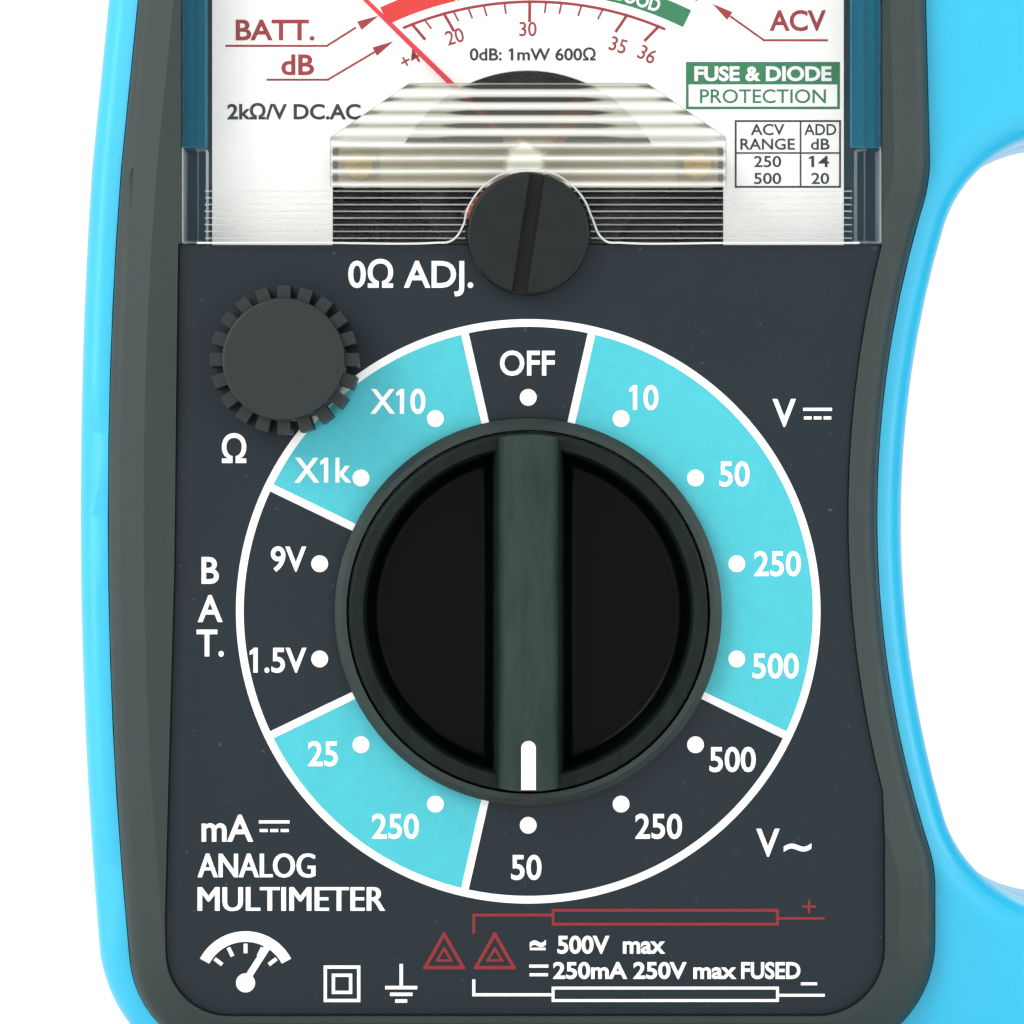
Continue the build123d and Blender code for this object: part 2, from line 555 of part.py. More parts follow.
with BuildPart() as movement_screws:
    for x, z in MOVEMENT_POSTS:
        peg(x, z, SMALL_SCREW_R, F_TRAY - TRAY_T, -1.0)
        peg(x, z, SMALL_HEAD_R, F_TRAY - 3.2, F_TRAY - TRAY_T)
        block(x - 1.5, x + 1.5, z - 0.3, z + 0.3, F_TRAY - 3.2, F_TRAY - 2.5, Mode.SUBTRACT)

# ---------------------------------------------------------------- selector knob and switch rotor
with BuildPart() as selector_knob:
    peg(0, KNOB_Z, KNOB_R, 11.6, F_RIM)
    fillet(selector_knob.edges().filter_by(GeomType.CIRCLE).sort_by(Axis.Y)[0], 0.5)
    # a tapering well for the fingers on each side of the ridge
    with BuildSketch(layer(F_RIM)):
        with Locations((0, KNOB_Z)):
            Circle(17.2)
            Rectangle(RIDGE_W + 0.4, 40, mode=Mode.SUBTRACT)
    extrude(amount=-(F_RIM - F_KNOB_FLOOR), taper=17, mode=Mode.SUBTRACT)
    flats = selector_knob.faces().filter_by(Plane.XZ)
    fillet(flats.filter_by(lambda face: abs(face.center().Y + F_KNOB_FLOOR) < 0.01).edges(), 0.8)
    with BuildSketch(layer(F_RIM - 1)):
        with Locations((0, KNOB_Z)):
            Circle(KNOB_R - 0.35)
            Rectangle(RIDGE_W, 40, mode=Mode.INTERSECT)
    extrude(amount=F_RIDGE - F_RIM + 1)
    top = selector_knob.faces().sort_by(Axis.Y)[0]
    fillet(top.edges().filter_by(GeomType.LINE), 2.2)
    with BuildSketch(layer(F_RIDGE)):
        with Locations((0, KNOB_Z - 16.4)):
            Rectangle(1.5, 5.0)
        with Locations((0, KNOB_Z - 13.9)):
            Circle(0.75)
    extrude(amount=-0.4, mode=Mode.SUBTRACT)
    peg(0, KNOB_Z, 6.0, 10.1, 11.6)
    peg(0, KNOB_Z, SHAFT_R, 2.8, 10.1)
    peg(0, KNOB_Z, SHAFT_R + 0.5, 3.5, 4.2, Mode.SUBTRACT)
    peg(0, KNOB_Z, SHAFT_R - 0.5, 3.5, 4.2)

with BuildPart() as knob_pointer_line:
    with BuildSketch(layer(F_RIDGE - 0.4)):
        with Locations((0, KNOB_Z - 16.05)):
            Rectangle(1.5, 4.3)
        with Locations((0, KNOB_Z - 13.9)):
            Circle(0.75)
    extrude(amount=0.42)

with BuildPart() as selector_clip:
    peg(0, KNOB_Z, 5.4, 3.55, 4.15)
    peg(0, KNOB_Z, SHAFT_R - 0.48, 3.55, 4.15, Mode.SUBTRACT)
    block(-1.6, 1.6, KNOB_Z - 6, KNOB_Z, 3.55, 4.15, Mode.SUBTRACT)

with BuildPart() as switch_rotor:
    peg(0, KNOB_Z, ROTOR_R, 7.2, 9.6)
    peg(0, KNOB_Z, ROTOR_R, 9.6, 11.3)
    peg(0, KNOB_Z, 19.4, 9.6, 11.3, Mode.SUBTRACT)
    peg(0, KNOB_Z, SHAFT_R + 0.05, 7.2, 9.6, Mode.SUBTRACT)
    for turn in (0, 180):
        x, z = around(0, KNOB_Z, BALL_CIRCLE_R, turn)
        peg(x, z, 1.3, 8.2, 11.3, Mode.SUBTRACT)

with BuildPart() as detent_balls:
    for turn in (0, 180):
        x, z = around(0, KNOB_Z, BALL_CIRCLE_R, turn)
        with Locations((x, -(F_PLATE - 0.05 - BALL_R), z)):
            Sphere(BALL_R)

with BuildPart() as wiper_contacts:
    for turn in (0, 120, 240):
        for reach in (8.0, 13.0):
            x, z = around(0, KNOB_Z, reach + 2, turn)
            peg(x, z, 1.0, 6.2, 6.6)
        facing = Plane(origin=(0, -6.9, KNOB_Z), x_dir=(1, 0, 0), z_dir=(0, -1, 0))
        with Locations(facing.rotated((0, turn, 0))):
            with Locations((0, 12.5, 0)):
                Box(1.8, 8.6, 0.6)

# ---------------------------------------------------------------- ohm adjuster
with BuildPart() as ohm_adjust_knob:
    peg(OHM_X, OHM_Z, OHM_R, F_OHM_BASE, F_OHM_TOP)
    fillet(ohm_adjust_knob.edges().filter_by(GeomType.CIRCLE).sort_by(Axis.Y)[0], 0.3)
    with BuildSketch(layer(F_OHM_BASE)):
        with Locations((OHM_X, OHM_Z)):
            with PolarLocations(OHM_RIB_R - 0.9, OHM_RIBS):
                Rectangle(1.8, 1.35)
    extrude(amount=6.6)
    peg(OHM_X, OHM_Z, POT_SHAFT_R + 0.05, F_OHM_BASE, 20.2, Mode.SUBTRACT)

with BuildPart() as potentiometer_shaft:
    peg(OHM_X, OHM_Z, POT_SHAFT_R, 8.0, 20.0)

with BuildPart() as potentiometer_body:
    peg(OHM_X, OHM_Z, POT_R, F_BOARD + 0.1, 11.8)
    block(OHM_X - 6.5, OHM_X + 6.5, OHM_Z - 9.4, OHM_Z, F_BOARD + 0.1, 7.6)
    peg(OHM_X, OHM_Z, POT_SHAFT_R + 0.05, 7.9, 11.8, Mode.SUBTRACT)

with BuildPart() as potentiometer_pins:
    for x in PIN_OFFSETS:
        block(OHM_X + x - 0.5, OHM_X + x + 0.5, PIN_Z - 0.3, PIN_Z + 0.3, 3.6, 7.4)

# ---------------------------------------------------------------- circuit board and its components
BOARD_TOP, BOARD_BOTTOM = 83.4, 6.5
F_BOARD_BACK = F_BOARD - BOARD_T
F_HEAD = F_BOARD_BACK - 1.5  # top of the board screws' heads
FUSE_X, FUSE_Z, FUSE_R, FUSE_LENGTH = 24.0, 17.0, 2.5, 20.0
F_FUSE = F_BOARD_BACK - 3.4
RESISTORS = [(-27, 56), (-17, 56), (10, 60), (20, 60), (10, 66), (20, 66), (-4, 72), (8, 72)]
DIODES = [(-6, 63), (-6, 67)]

with BuildPart() as circuit_board:
    with BuildSketch(layer(F_BOARD_BACK)):
        add(case_outline.sketch)
        offset(amount=-2.8)
        with Locations((0, (BOARD_TOP + BOARD_BOTTOM) / 2)):
            Rectangle(90, BOARD_TOP - BOARD_BOTTOM, mode=Mode.INTERSECT)
        with Locations(*CASE_BOSSES[:2]):
            Circle(4.0, mode=Mode.SUBTRACT)
        with Locations((0, KNOB_Z)):
            Circle(SHAFT_R + 0.06, mode=Mode.SUBTRACT)
        with Locations(*BOARD_POSTS):
            Circle(1.0, mode=Mode.SUBTRACT)
        with Locations(*[(OHM_X + x, PIN_Z) for x in PIN_OFFSETS]):
            Rectangle(1.2, 0.8, mode=Mode.SUBTRACT)
    extrude(amount=BOARD_T)

with BuildPart() as contact_pads:
    with BuildSketch(layer(F_BOARD)):
        with Locations((0, KNOB_Z)):
            Circle(11.2)
            Circle(8.8, mode=Mode.SUBTRACT)
            with PolarLocations(15.0, POSITIONS, start_angle=90):
                Rectangle(3.4, 3.6)
    extrude(amount=0.12)

with BuildPart() as board_screws:
    for x, z in BOARD_POSTS:
        peg(x, z, SMALL_SCREW_R, F_BOARD_BACK, 10.6)
        peg(x, z, SMALL_HEAD_R, F_HEAD, F_BOARD_BACK)
        block(x - 1.5, x + 1.5, z - 0.25, z + 0.25, F_HEAD, F_HEAD + 0.7, Mode.SUBTRACT)


def bar_along_x(x0, x1, z, f, radius, mode=Mode.ADD):
    """A round bar of the open part, lying along X."""
    with Locations(Plane(origin=((x0 + x1) / 2, -f, z), z_dir=(1, 0, 0))):
        Cylinder(radius, x1 - x0, mode=mode)


def bar_along_z(x, z0, z1, f, radius, mode=Mode.ADD):
    """A round bar of the open part, standing along Z."""
    with Locations((x, -f, (z0 + z1) / 2)):
        Cylinder(radius, z1 - z0, mode=mode)


RESISTOR_HALF, RESISTOR_R, F_RESISTOR = 3.1, 1.15, F_BOARD_BACK - 1.4

with BuildPart() as resistors:
    for x, z in RESISTORS:
        bar_along_x(x - RESISTOR_HALF, x + RESISTOR_HALF, z, F_RESISTOR, 0.95)
        for end in (-RESISTOR_HALF + 0.8, RESISTOR_HALF - 0.8):
            bar_along_x(x + end - 0.8, x + end + 0.8, z, F_RESISTOR, RESISTOR_R)

with BuildPart() as resistor_leads:
    for x, z in RESISTORS:
        for side in (-1, 1):
            near, far = x + side * RESISTOR_HALF, x + side * (RESISTOR_HALF + 1.2)
            bar_along_x(min(near, far), max(near, far), z, F_RESISTOR, 0.3)
            peg(far, z, 0.3, F_RESISTOR, F_BOARD_BACK)

with BuildPart() as diodes:
    for x, z in DIODES:
        bar_along_x(x - 1.9, x + 1.9, z, F_RESISTOR, 0.9)

with BuildPart() as diode_leads:
    for x, z in DIODES:
        for side in (-1, 1):
            near, far = x + side * 1.9, x + side * 3.4
            bar_along_x(min(near, far), max(near, far), z, F_RESISTOR, 0.28)
            peg(far, z, 0.28, F_RESISTOR, F_BOARD_BACK)

with BuildPart() as capacitor:
    peg(-27.0, 74.0, 2.5, F_BOARD_BACK - 6.0, F_BOARD_BACK)
    fillet(capacitor.edges().filter_by(GeomType.CIRCLE).sort_by(Axis.Y)[-1], 0.4)

with BuildPart() as fuse_glass:
    half = FUSE_LENGTH / 2
    bar_along_z(FUSE_X, FUSE_Z - half + 0.3, FUSE_Z + half - 0.3, F_FUSE, FUSE_R - 0.2)
    bar_along_z(FUSE_X, FUSE_Z - half, FUSE_Z + half, F_FUSE, FUSE_R - 0.7, Mode.SUBTRACT)

with BuildPart() as fuse_caps:
    for side in (-1, 1):
        outer, inner = FUSE_Z + side * FUSE_LENGTH / 2, FUSE_Z + side * (FUSE_LENGTH / 2 - 5)
        bar_along_z(FUSE_X, min(outer, inner), max(outer, inner), F_FUSE, FUSE_R)
        hollow = FUSE_Z + side * (FUSE_LENGTH / 2 - 0.3)
        bar_along_z(FUSE_X, min(hollow, inner), max(hollow, inner), F_FUSE, FUSE_R - 0.2, Mode.SUBTRACT)

with BuildPart() as fuse_wire:
    bar_along_z(FUSE_X, FUSE_Z - FUSE_LENGTH / 2 + 0.3, FUSE_Z + FUSE_LENGTH / 2 - 0.3, F_FUSE, 0.12)

with BuildPart() as fuse_clips:
    for side in (-1, 1):
        z = FUSE_Z + side * (FUSE_LENGTH / 2 - 2.5)
        block(FUSE_X - 3.0, FUSE_X + 3.0, z - 1.5, z + 1.5, F_FUSE - 1.2, F_BOARD_BACK)
        bar_along_z(FUSE_X, z - 1.5, z + 1.5, F_FUSE, FUSE_R, Mode.SUBTRACT)
        block(FUSE_X - 1.9, FUSE_X + 1.9, z - 1.5, z + 1.5, F_FUSE - 1.2, F_FUSE, Mode.SUBTRACT)

# ---------------------------------------------------------------- battery and its contacts
BATTERY_X0 = -24.4
BATTERY_X1 = BATTERY_X0 + BATTERY_LENGTH
CONTACT_T = 0.4
TAB_Z, F_TAB = 43.5, -4.0

with BuildPart() as battery:
    bar_along_x(BATTERY_X0 + 0.3, BATTERY_X1, BATTERY_Z, F_BATTERY, BATTERY_R)
    fillet(battery.edges().filter_by(GeomType.CIRCLE), 0.4)
    bar_along_x(BATTERY_X0, BATTERY_X0 + 0.5, BATTERY_Z, F_BATTERY, 4.5)
    bar_along_x(BATTERY_X1 - 0.2, BATTERY_X1 + 1.1, BATTERY_Z, F_BATTERY, 2.7)

with BuildPart() as battery_contacts:
    for side in (-1, 1):
        wall, face = side * TUB_HALF, side * (TUB_HALF - CONTACT_T)
        block(min(wall, face), max(wall, face), BATTERY_Z - 5, BATTERY_Z + 5, F_BATTERY - 5, F_TAB + 0.5)
        tip = side * (TUB_HALF + TUB_WALL + 1.8)
        block(min(tip, face), max(tip, face), TAB_Z - 0.9, TAB_Z + 0.9, F_TAB - 0.2, F_TAB + 0.2)

with BuildPart() as battery_spring:
    with BuildLine() as winding:
        spring_start = (-TUB_HALF + CONTACT_T + 0.35, -F_BATTERY, BATTERY_Z)
        Helix(pitch=0.75, height=1.7, radius=3.2, center=spring_start, direction=(1, 0, 0))
    with BuildSketch(Plane(origin=winding.line @ 0, z_dir=winding.line % 0)):
        Circle(0.3)
    sweep(path=winding.line, is_frenet=True)

with BuildPart() as rear_tab_slots:
    for side in (-1, 1):
        near, far = side * (TUB_HALF - 0.1), side * (TUB_HALF + TUB_WALL + 0.1)
        block(min(near, far), max(near, far), TAB_Z - 1.0, TAB_Z + 1.0, F_TAB - 0.3, F_TAB + 0.3)

with rear_shell:
    add(rear_tab_slots.part, mode=Mode.SUBTRACT)

with BuildPart() as battery_cover:
    block(-COVER_HALF, COVER_HALF, COVER_BOTTOM, COVER_TOP, F_BACK, F_COVER)
    fillet(battery_cover.edges().filter_by(Axis.Y), 1.0)
    for step in range(5):
        z = COVER_BOTTOM + 6 + 2.4 * step
        block(-9, 9, z, z + 1.1, F_BACK, F_BACK + 0.5, Mode.SUBTRACT)
    peg(0, COVER_SCREW_Z, 2.9, F_BACK, F_BACK + 1.0, Mode.SUBTRACT)
    peg(0, COVER_SCREW_Z, 1.3, F_BACK, F_COVER, Mode.SUBTRACT)

with BuildPart() as cover_screw:
    peg(0, COVER_SCREW_Z, 2.7, F_BACK + 0.1, F_BACK + 1.0)
    peg(0, COVER_SCREW_Z, 1.05, F_BACK + 1.0, -8.0)
    block(-2.0, 2.0, COVER_SCREW_Z - 0.35, COVER_SCREW_Z + 0.35, F_BACK + 0.1, F_BACK + 0.6, Mode.SUBTRACT)
    block(-0.35, 0.35, COVER_SCREW_Z - 2.0, COVER_SCREW_Z + 2.0, F_BACK + 0.1, F_BACK + 0.6, Mode.SUBTRACT)

# ---------------------------------------------------------------- test lead sockets in the bottom end
F_SOCKET = F_SPLIT
SOCKET_TOP = 25.0

with BuildPart() as socket_sleeves:
    for x in (-SOCKET_X, SOCKET_X):
        bar_along_z(x, 1.5, SOCKET_TOP, F_SOCKET, SLEEVE_R)
        bar_along_z(x, 1.5, SOCKET_TOP - 2, F_SOCKET, SOCKET_BORE_R, Mode.SUBTRACT)
        block(x - 1.3, x + 1.3, SOCKET_TOP, SOCKET_TOP + 2.4, F_SOCKET - 0.4, F_SOCKET + 0.4)

with BuildPart() as socket_insulators:
    for x in (-SOCKET_X, SOCKET_X):
        bar_along_z(x, 0.2, 4.0, F_SOCKET, INSULATOR_R)
        bar_along_z(x, 2.35, 4.0, F_SOCKET, 6.6)
        bar_along_z(x, 4.0, SOCKET_TOP - 3, F_SOCKET, 4.4)
        bar_along_z(x, 1.5, SOCKET_TOP, F_SOCKET, SLEEVE_R, Mode.SUBTRACT)
        bar_along_z(x, 0.0, 1.5, F_SOCKET, 3.4, Mode.SUBTRACT)

# ---------------------------------------------------------------- internal wires


def wire(points, first, last):
    """A round insulated wire of the open part through (x, f, z) points, with end directions."""
    with BuildLine() as path:
        Spline(*[(x, -f, z) for x, f, z in points], tangents=(first, last))
    with BuildSketch(Plane(origin=path.line @ 0, z_dir=path.line % 0)) as section:
        Circle(0.55)
    sweep(section.sketch, path=path.line)


with BuildPart() as movement_leads:
    for side in (-1, 1):
        start, bend = (side * 16.5, -5.6, 92.5), (side * 16.8, -2.5, 84.5)
        wire([start, bend, (side * 15.5, F_BOARD_BACK, 78.5)], (0, 0, -1), (0, -1, 0))

with BuildPart() as battery_leads:
    for side in (-1, 1):
        start, bend = (side * 30.2, F_TAB + 0.2, TAB_Z), (side * 31.0, 0.5, TAB_Z + 3)
        wire([start, bend, (side * 30.2, F_BOARD_BACK, TAB_Z + 2)], (0, -1, 0), (0, -1, 0))

with BuildPart() as socket_leads:
    for x in (-SOCKET_X, SOCKET_X):
        start, bend = (x, F_SOCKET + 0.4, SOCKET_TOP + 1.6), (x * 1.15, 1.0, SOCKET_TOP + 2.6)
        wire([start, bend, (x, F_BOARD_BACK, SOCKET_TOP)], (0, -1, 0), (0, -1, 0))

# ---------------------------------------------------------------- fasteners that close the case
F_CASE_HEAD = F_COUNTERBORE - 2.2

with BuildPart() as case_screws:
    for x, z in CASE_BOSSES + HANDLE_BOSSES:
        head = 2.6 if z < SLIM_ABOVE else 2.4
        peg(x, z, head, F_CASE_HEAD, F_COUNTERBORE)
        peg(x, z, CASE_SCREW_R, F_COUNTERBORE, 5.0)
        block(x - 1.9, x + 1.9, z - 0.35, z + 0.35, F_CASE_HEAD, F_CASE_HEAD + 1.0, Mode.SUBTRACT)
        block(x - 0.35, x + 0.35, z - 1.9, z + 1.9, F_CASE_HEAD, F_CASE_HEAD + 1.0, Mode.SUBTRACT)

with BuildPart() as detent_springs:
    for turn in (0, 180):
        x, z = around(0, KNOB_Z, BALL_CIRCLE_R, turn)
        with BuildLine() as turns:
            Helix(pitch=0.42, height=0.8, radius=0.8, center=(x, -8.45, z), direction=(0, -1, 0))
        with BuildSketch(Plane(origin=turns.line @ 0, z_dir=turns.line % 0)):
            Circle(0.14)
        sweep(path=turns.line, is_frenet=True)

# ---------------------------------------------------------------- files, one for each piece
PIECES = {
    "rear_shell": rear_shell,
    "front_shell": front_shell,
    "front_case": front_case,
    "printed_panel": printed_panel,
    "meter_window": meter_window,
    "zero_adjust_screw": zero_adjust_screw,
    "zero_adjust_arm": zero_adjust_arm,
    "scale_plate": scale_plate,
    "scale_screws": scale_screws,
    "movement_frame": movement_frame,
    "movement_screws": movement_screws,
    "magnet_yoke": magnet_yoke,
    "core_magnet": core_magnet,
    "core_holder": core_holder,
    "bearing_bridge": bearing_bridge,
    "bridge_screws": bridge_screws,
    "front_jewel_screw": front_jewel_screw,
    "rear_jewel_screw": rear_jewel_screw,
    "needle": needle,
    "moving_coil": moving_coil,
    "coil_pivots": coil_pivots,
    "balance_weights": balance_weights,
    "front_hairspring": front_hairspring,
    "rear_hairspring": rear_hairspring,
    "selector_knob": selector_knob,
    "knob_pointer_line": knob_pointer_line,
    "selector_clip": selector_clip,
    "switch_rotor": switch_rotor,
    "wiper_contacts": wiper_contacts,
    "detent_balls": detent_balls,
    "detent_springs": detent_springs,
    "ohm_adjust_knob": ohm_adjust_knob,
    "potentiometer_shaft": potentiometer_shaft,
    "potentiometer_body": potentiometer_body,
    "potentiometer_pins": potentiometer_pins,
    "circuit_board": circuit_board,
    "contact_pads": contact_pads,
    "board_screws": board_screws,
    "resistors": resistors,
    "resistor_leads": resistor_leads,
    "diodes": diodes,
    "diode_leads": diode_leads,
    "capacitor": capacitor,
    "fuse_glass": fuse_glass,
    "fuse_caps": fuse_caps,
    "fuse_wire": fuse_wire,
    "fuse_clips": fuse_clips,
    "battery": battery,
    "battery_contacts": battery_contacts,
    "battery_spring": battery_spring,
    "battery_cover": battery_cover,
    "cover_screw": cover_screw,
    "socket_sleeves": socket_sleeves,
    "socket_insulators": socket_insulators,
    "movement_leads": movement_leads,
    "battery_leads": battery_leads,
    "socket_leads": socket_leads,
    "case_screws": case_screws,
}
for name, piece in PIECES.items():
    piece.part.label = name
    export_step(piece.part, "parts/" + name + ".step")
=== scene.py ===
"""Looks of the analog multimeter: materials, printed legends and scale, window, light and camera."""
import math

import bmesh
import bpy
from mathutils import Matrix, Vector


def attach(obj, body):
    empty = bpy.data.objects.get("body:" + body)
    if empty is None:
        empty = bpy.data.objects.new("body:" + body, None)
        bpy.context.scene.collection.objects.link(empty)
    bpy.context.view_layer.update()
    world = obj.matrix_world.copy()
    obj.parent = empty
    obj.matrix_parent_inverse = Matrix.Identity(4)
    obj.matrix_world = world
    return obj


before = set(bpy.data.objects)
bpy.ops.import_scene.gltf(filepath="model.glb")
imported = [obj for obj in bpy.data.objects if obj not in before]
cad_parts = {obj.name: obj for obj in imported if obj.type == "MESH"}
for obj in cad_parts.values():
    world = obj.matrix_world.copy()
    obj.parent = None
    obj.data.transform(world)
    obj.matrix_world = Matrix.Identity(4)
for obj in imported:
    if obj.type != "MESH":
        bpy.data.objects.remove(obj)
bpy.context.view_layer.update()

MM = 0.001


# ------------------------------------------------------------------ colours and materials
def linear(red, green, blue):
    """An sRGB colour, 0 to 255, as linear RGBA."""
    def one(value):
        value /= 255
        return value / 12.92 if value <= 0.04045 else ((value + 0.055) / 1.055) ** 2.4
    return (one(red), one(green), one(blue), 1)


def scaled(colour, factor):
    return tuple(min(1, part * factor) for part in colour[:3]) + (1,)


class Nodes:
    """A material's node tree, with short ways to add and join nodes."""

    def __init__(self, name):
        self.material = bpy.data.materials.new(name)
        self.material.use_nodes = True
        self.tree = self.material.node_tree
        self.shader = self.tree.nodes["Principled BSDF"]
        self.place = self.add("ShaderNodeTexCoord").outputs["Object"]

    def add(self, kind, **inputs):
        node = self.tree.nodes.new(kind)
        for name, value in inputs.items():
            self.feed(node.inputs[name.replace("_", " ")], value)
        return node

    def feed(self, socket, value):
        if isinstance(value, bpy.types.NodeSocket):
            self.tree.links.new(value, socket)
        else:
            socket.default_value = value

    def set(self, **inputs):
        for name, value in inputs.items():
            self.feed(self.shader.inputs[name.replace("_", " ")], value)

    def stretched(self, scale):
        """The object's own coordinates, stretched by a factor along each axis."""
        return self.add("ShaderNodeMapping", Vector=self.place, Scale=scale).outputs[0]

    def millimetres(self, axis, direction=1):
        """Where the surface point lies along one axis, in millimetres."""
        axes = self.add("ShaderNodeSeparateXYZ", Vector=self.place)
        return self.math("MULTIPLY", axes.outputs[axis], direction / MM)

    def noise(self, scale, detail=3.0, rough=0.55, vector=None, distortion=0.0):
        node = self.add("ShaderNodeTexNoise", Scale=scale, Detail=detail, Roughness=rough,
                        Distortion=distortion)
        self.feed(node.inputs["Vector"], vector or self.place)
        return node.outputs["Fac"]

    def ramp(self, value, low, high, to_low=0.0, to_high=1.0):
        node = self.add("ShaderNodeMapRange")
        for index, item in enumerate((value, low, high, to_low, to_high)):
            self.feed(node.inputs[index], item)
        return node.outputs[0]

    def math(self, operation, first, second=0.0, clamp=False):
        node = self.add("ShaderNodeMath")
        node.operation = operation
        node.use_clamp = clamp
        self.feed(node.inputs[0], first)
        self.feed(node.inputs[1], second)
        return node.outputs[0]

    def mix(self, fac, first, second):
        node = self.add("ShaderNodeMix")
        node.data_type = "RGBA"
        self.feed(node.inputs[0], fac)
        self.feed(node.inputs[6], first)
        self.feed(node.inputs[7], second)
        return node.outputs[2]

    def bump(self, height, distance, strength=1.0, normal=None):
        node = self.add("ShaderNodeBump", Height=height, Strength=strength, Distance=distance)
        if normal is not None:
            self.feed(node.inputs["Normal"], normal)
        return node.outputs[0]


SCRATCH = 0.05  # how far handling scratches shift the roughness of plastic
TOOL_MARKS, TOOL_MARK_DEPTH, TARNISH = 900, 0.004, 0.62  # of bare metal


def plastic(name, colour, rough=0.45, grain=3000, depth=0.012, mottle=0.07, coat=0.0, specular=0.5):
    """Moulded plastic: fine spark-eroded grain, slight colour drift, faint handling scratches."""
    n = Nodes(name)
    drift = n.noise(45, 4)
    fleck = n.noise(grain * 0.6, 2)
    tone = n.mix(n.ramp(drift, 0.3, 0.7), scaled(colour, 1 - mottle), scaled(colour, 1 + mottle))
    tone = n.mix(n.ramp(fleck, 0.35, 0.7, 0, 0.35), tone, scaled(colour, 1 - 2 * mottle))
    rub = n.noise(70, 6, 0.7, n.stretched((9, 9, 1)), 1.2)
    n.set(Base_Color=tone, Specular_IOR_Level=specular, Coat_Weight=coat)
    n.set(Roughness=n.ramp(rub, 0.35, 0.75, rough - SCRATCH, rough + SCRATCH))
    fine = n.bump(n.noise(grain, 3, 0.6), depth * MM, 0.7)
    n.set(Normal=n.bump(n.noise(260, 3), 0.02 * MM, 0.5, fine))
    return n.material


def metal(name, colour, rough=0.3, along=(1, 1, 30)):
    """Turned, rolled or plated metal with fine tool marks and a little tarnish."""
    n = Nodes(name)
    marks = n.noise(TOOL_MARKS, 3, 0.6, n.stretched(along))
    stain = n.noise(180, 5, 0.65)
    n.set(Base_Color=n.mix(n.ramp(stain, 0.42, 0.72), colour, scaled(colour, TARNISH)), Metallic=1.0)
    n.set(Roughness=n.ramp(marks, 0.3, 0.7, rough * 0.7, rough * 1.4))
    n.set(Normal=n.bump(marks, TOOL_MARK_DEPTH * MM, 0.6))
    return n.material


def ink(name, colour, rough=0.42):
    """Screen-printed ink: dense, with a slight orange-peel."""
    n = Nodes(name)
    n.set(Base_Color=n.mix(n.ramp(n.noise(900, 3), 0.35, 0.7), colour, scaled(colour, 0.93)))
    n.set(Roughness=n.ramp(n.noise(300, 3), 0.3, 0.7, rough - 0.06, rough + 0.06))
    n.set(Normal=n.bump(n.noise(2200, 2), 0.004 * MM, 0.6))
    return n.material


BLUE = linear(36, 176, 212)
BLACK = linear(24, 42, 38)
NAVY = linear(4, 25, 34)
CYAN = linear(64, 184, 196)

blue_plastic = plastic("blue_plastic", BLUE, 0.36, 2400, 0.010, 0.035, coat=0.08)
black_plastic = plastic("black_plastic", BLACK, 0.5, 2600, 0.03, 0.12)
thumb_plastic = plastic("thumb_plastic", linear(3, 21, 19), 0.52, 2600, 0.03, 0.12)
dark_frame = plastic("dark_frame", linear(8, 11, 14), 0.45, specular=0.25)
nylon = plastic("nylon", linear(222, 218, 200), 0.4, 1500, 0.01, 0.04)
white_inlay = plastic("white_inlay", linear(250, 250, 246), 0.38, 1500, 0.006, 0.02)
component_tan = plastic("component_tan", linear(205, 172, 128), 0.3, 900, 0.01, 0.1, coat=0.3)
component_black = plastic("component_black", linear(26, 26, 28), 0.3)
capacitor_green = plastic("capacitor_green", linear(40, 92, 70), 0.25, coat=0.3)
battery_wrap = plastic("battery_wrap", linear(60, 64, 70), 0.25, 700, 0.004, 0.1, coat=0.4)
wire_insulation = plastic("wire_insulation", linear(34, 34, 36), 0.4)
zinc = metal("zinc_screw", linear(196, 198, 202), 0.28)
spring_steel = metal("spring_steel", linear(184, 186, 190), 0.3)
dark_steel = metal("dark_steel", linear(48, 48, 52), 0.45)
magnet = metal("magnet", linear(38, 38, 42), 0.5)
brass = metal("brass", linear(214, 178, 104), 0.26)
copper = metal("copper", linear(196, 112, 72), 0.34, (40, 1, 1))
nickel = metal("nickel", linear(214, 212, 206), 0.2)
aluminium = metal("aluminium", linear(214, 216, 220), 0.34)
needle_red = ink("needle_red", linear(224, 24, 50), 0.35)

# depths in millimetres at which the knob's wells end and its grip ridge starts and ends
WELL_FLOOR, WELL_EDGE, RIDGE_FOOT, RIDGE_TOP = 15.6, 16.6, 18.5, 21.0
SLOT_FLOOR, SLOT_EDGE = 15.7, 16.5  # the same for the slot of the zero screw


def knob_moulding():
    """The selector's plastic: dark and glossy in the wells, pale and matte along the ridge; the colour is painted
    shade in the wells and a painted highlight on the ridge, broken up by scuffs.
    """
    n = Nodes("knob_plastic")
    depth = n.millimetres(1, -1)
    rise = n.math("ADD", n.ramp(depth, WELL_FLOOR, WELL_EDGE, 0.0, 0.35),
                  n.ramp(depth, RIDGE_FOOT, RIDGE_TOP, 0.0, 0.65))
    scuff = n.noise(240, 5, 0.65, n.stretched((2.5, 1, 0.5)))
    # colour by depth is painted light: near black in the wells as painted shade, paler up the ridge as a painted
    # highlight
    painted_shade_and_highlight = n.math("MULTIPLY", rise, n.ramp(scuff, 0.3, 0.7, 0.7, 1.15), True)
    n.set(Base_Color=n.mix(painted_shade_and_highlight, linear(2, 4, 4), linear(46, 60, 56)))
    n.set(Roughness=n.math("ADD", n.ramp(rise, 0, 1, 0.32, 0.44), n.ramp(scuff, 0.3, 0.7, -0.05, 0.05)))
    n.set(Specular_IOR_Level=0.08)
    fine = n.bump(n.noise(2400, 3, 0.6), 0.02 * MM, 0.7)
    n.set(Normal=n.bump(n.noise(420, 3), 0.03 * MM, 0.5, fine))
    return n.material


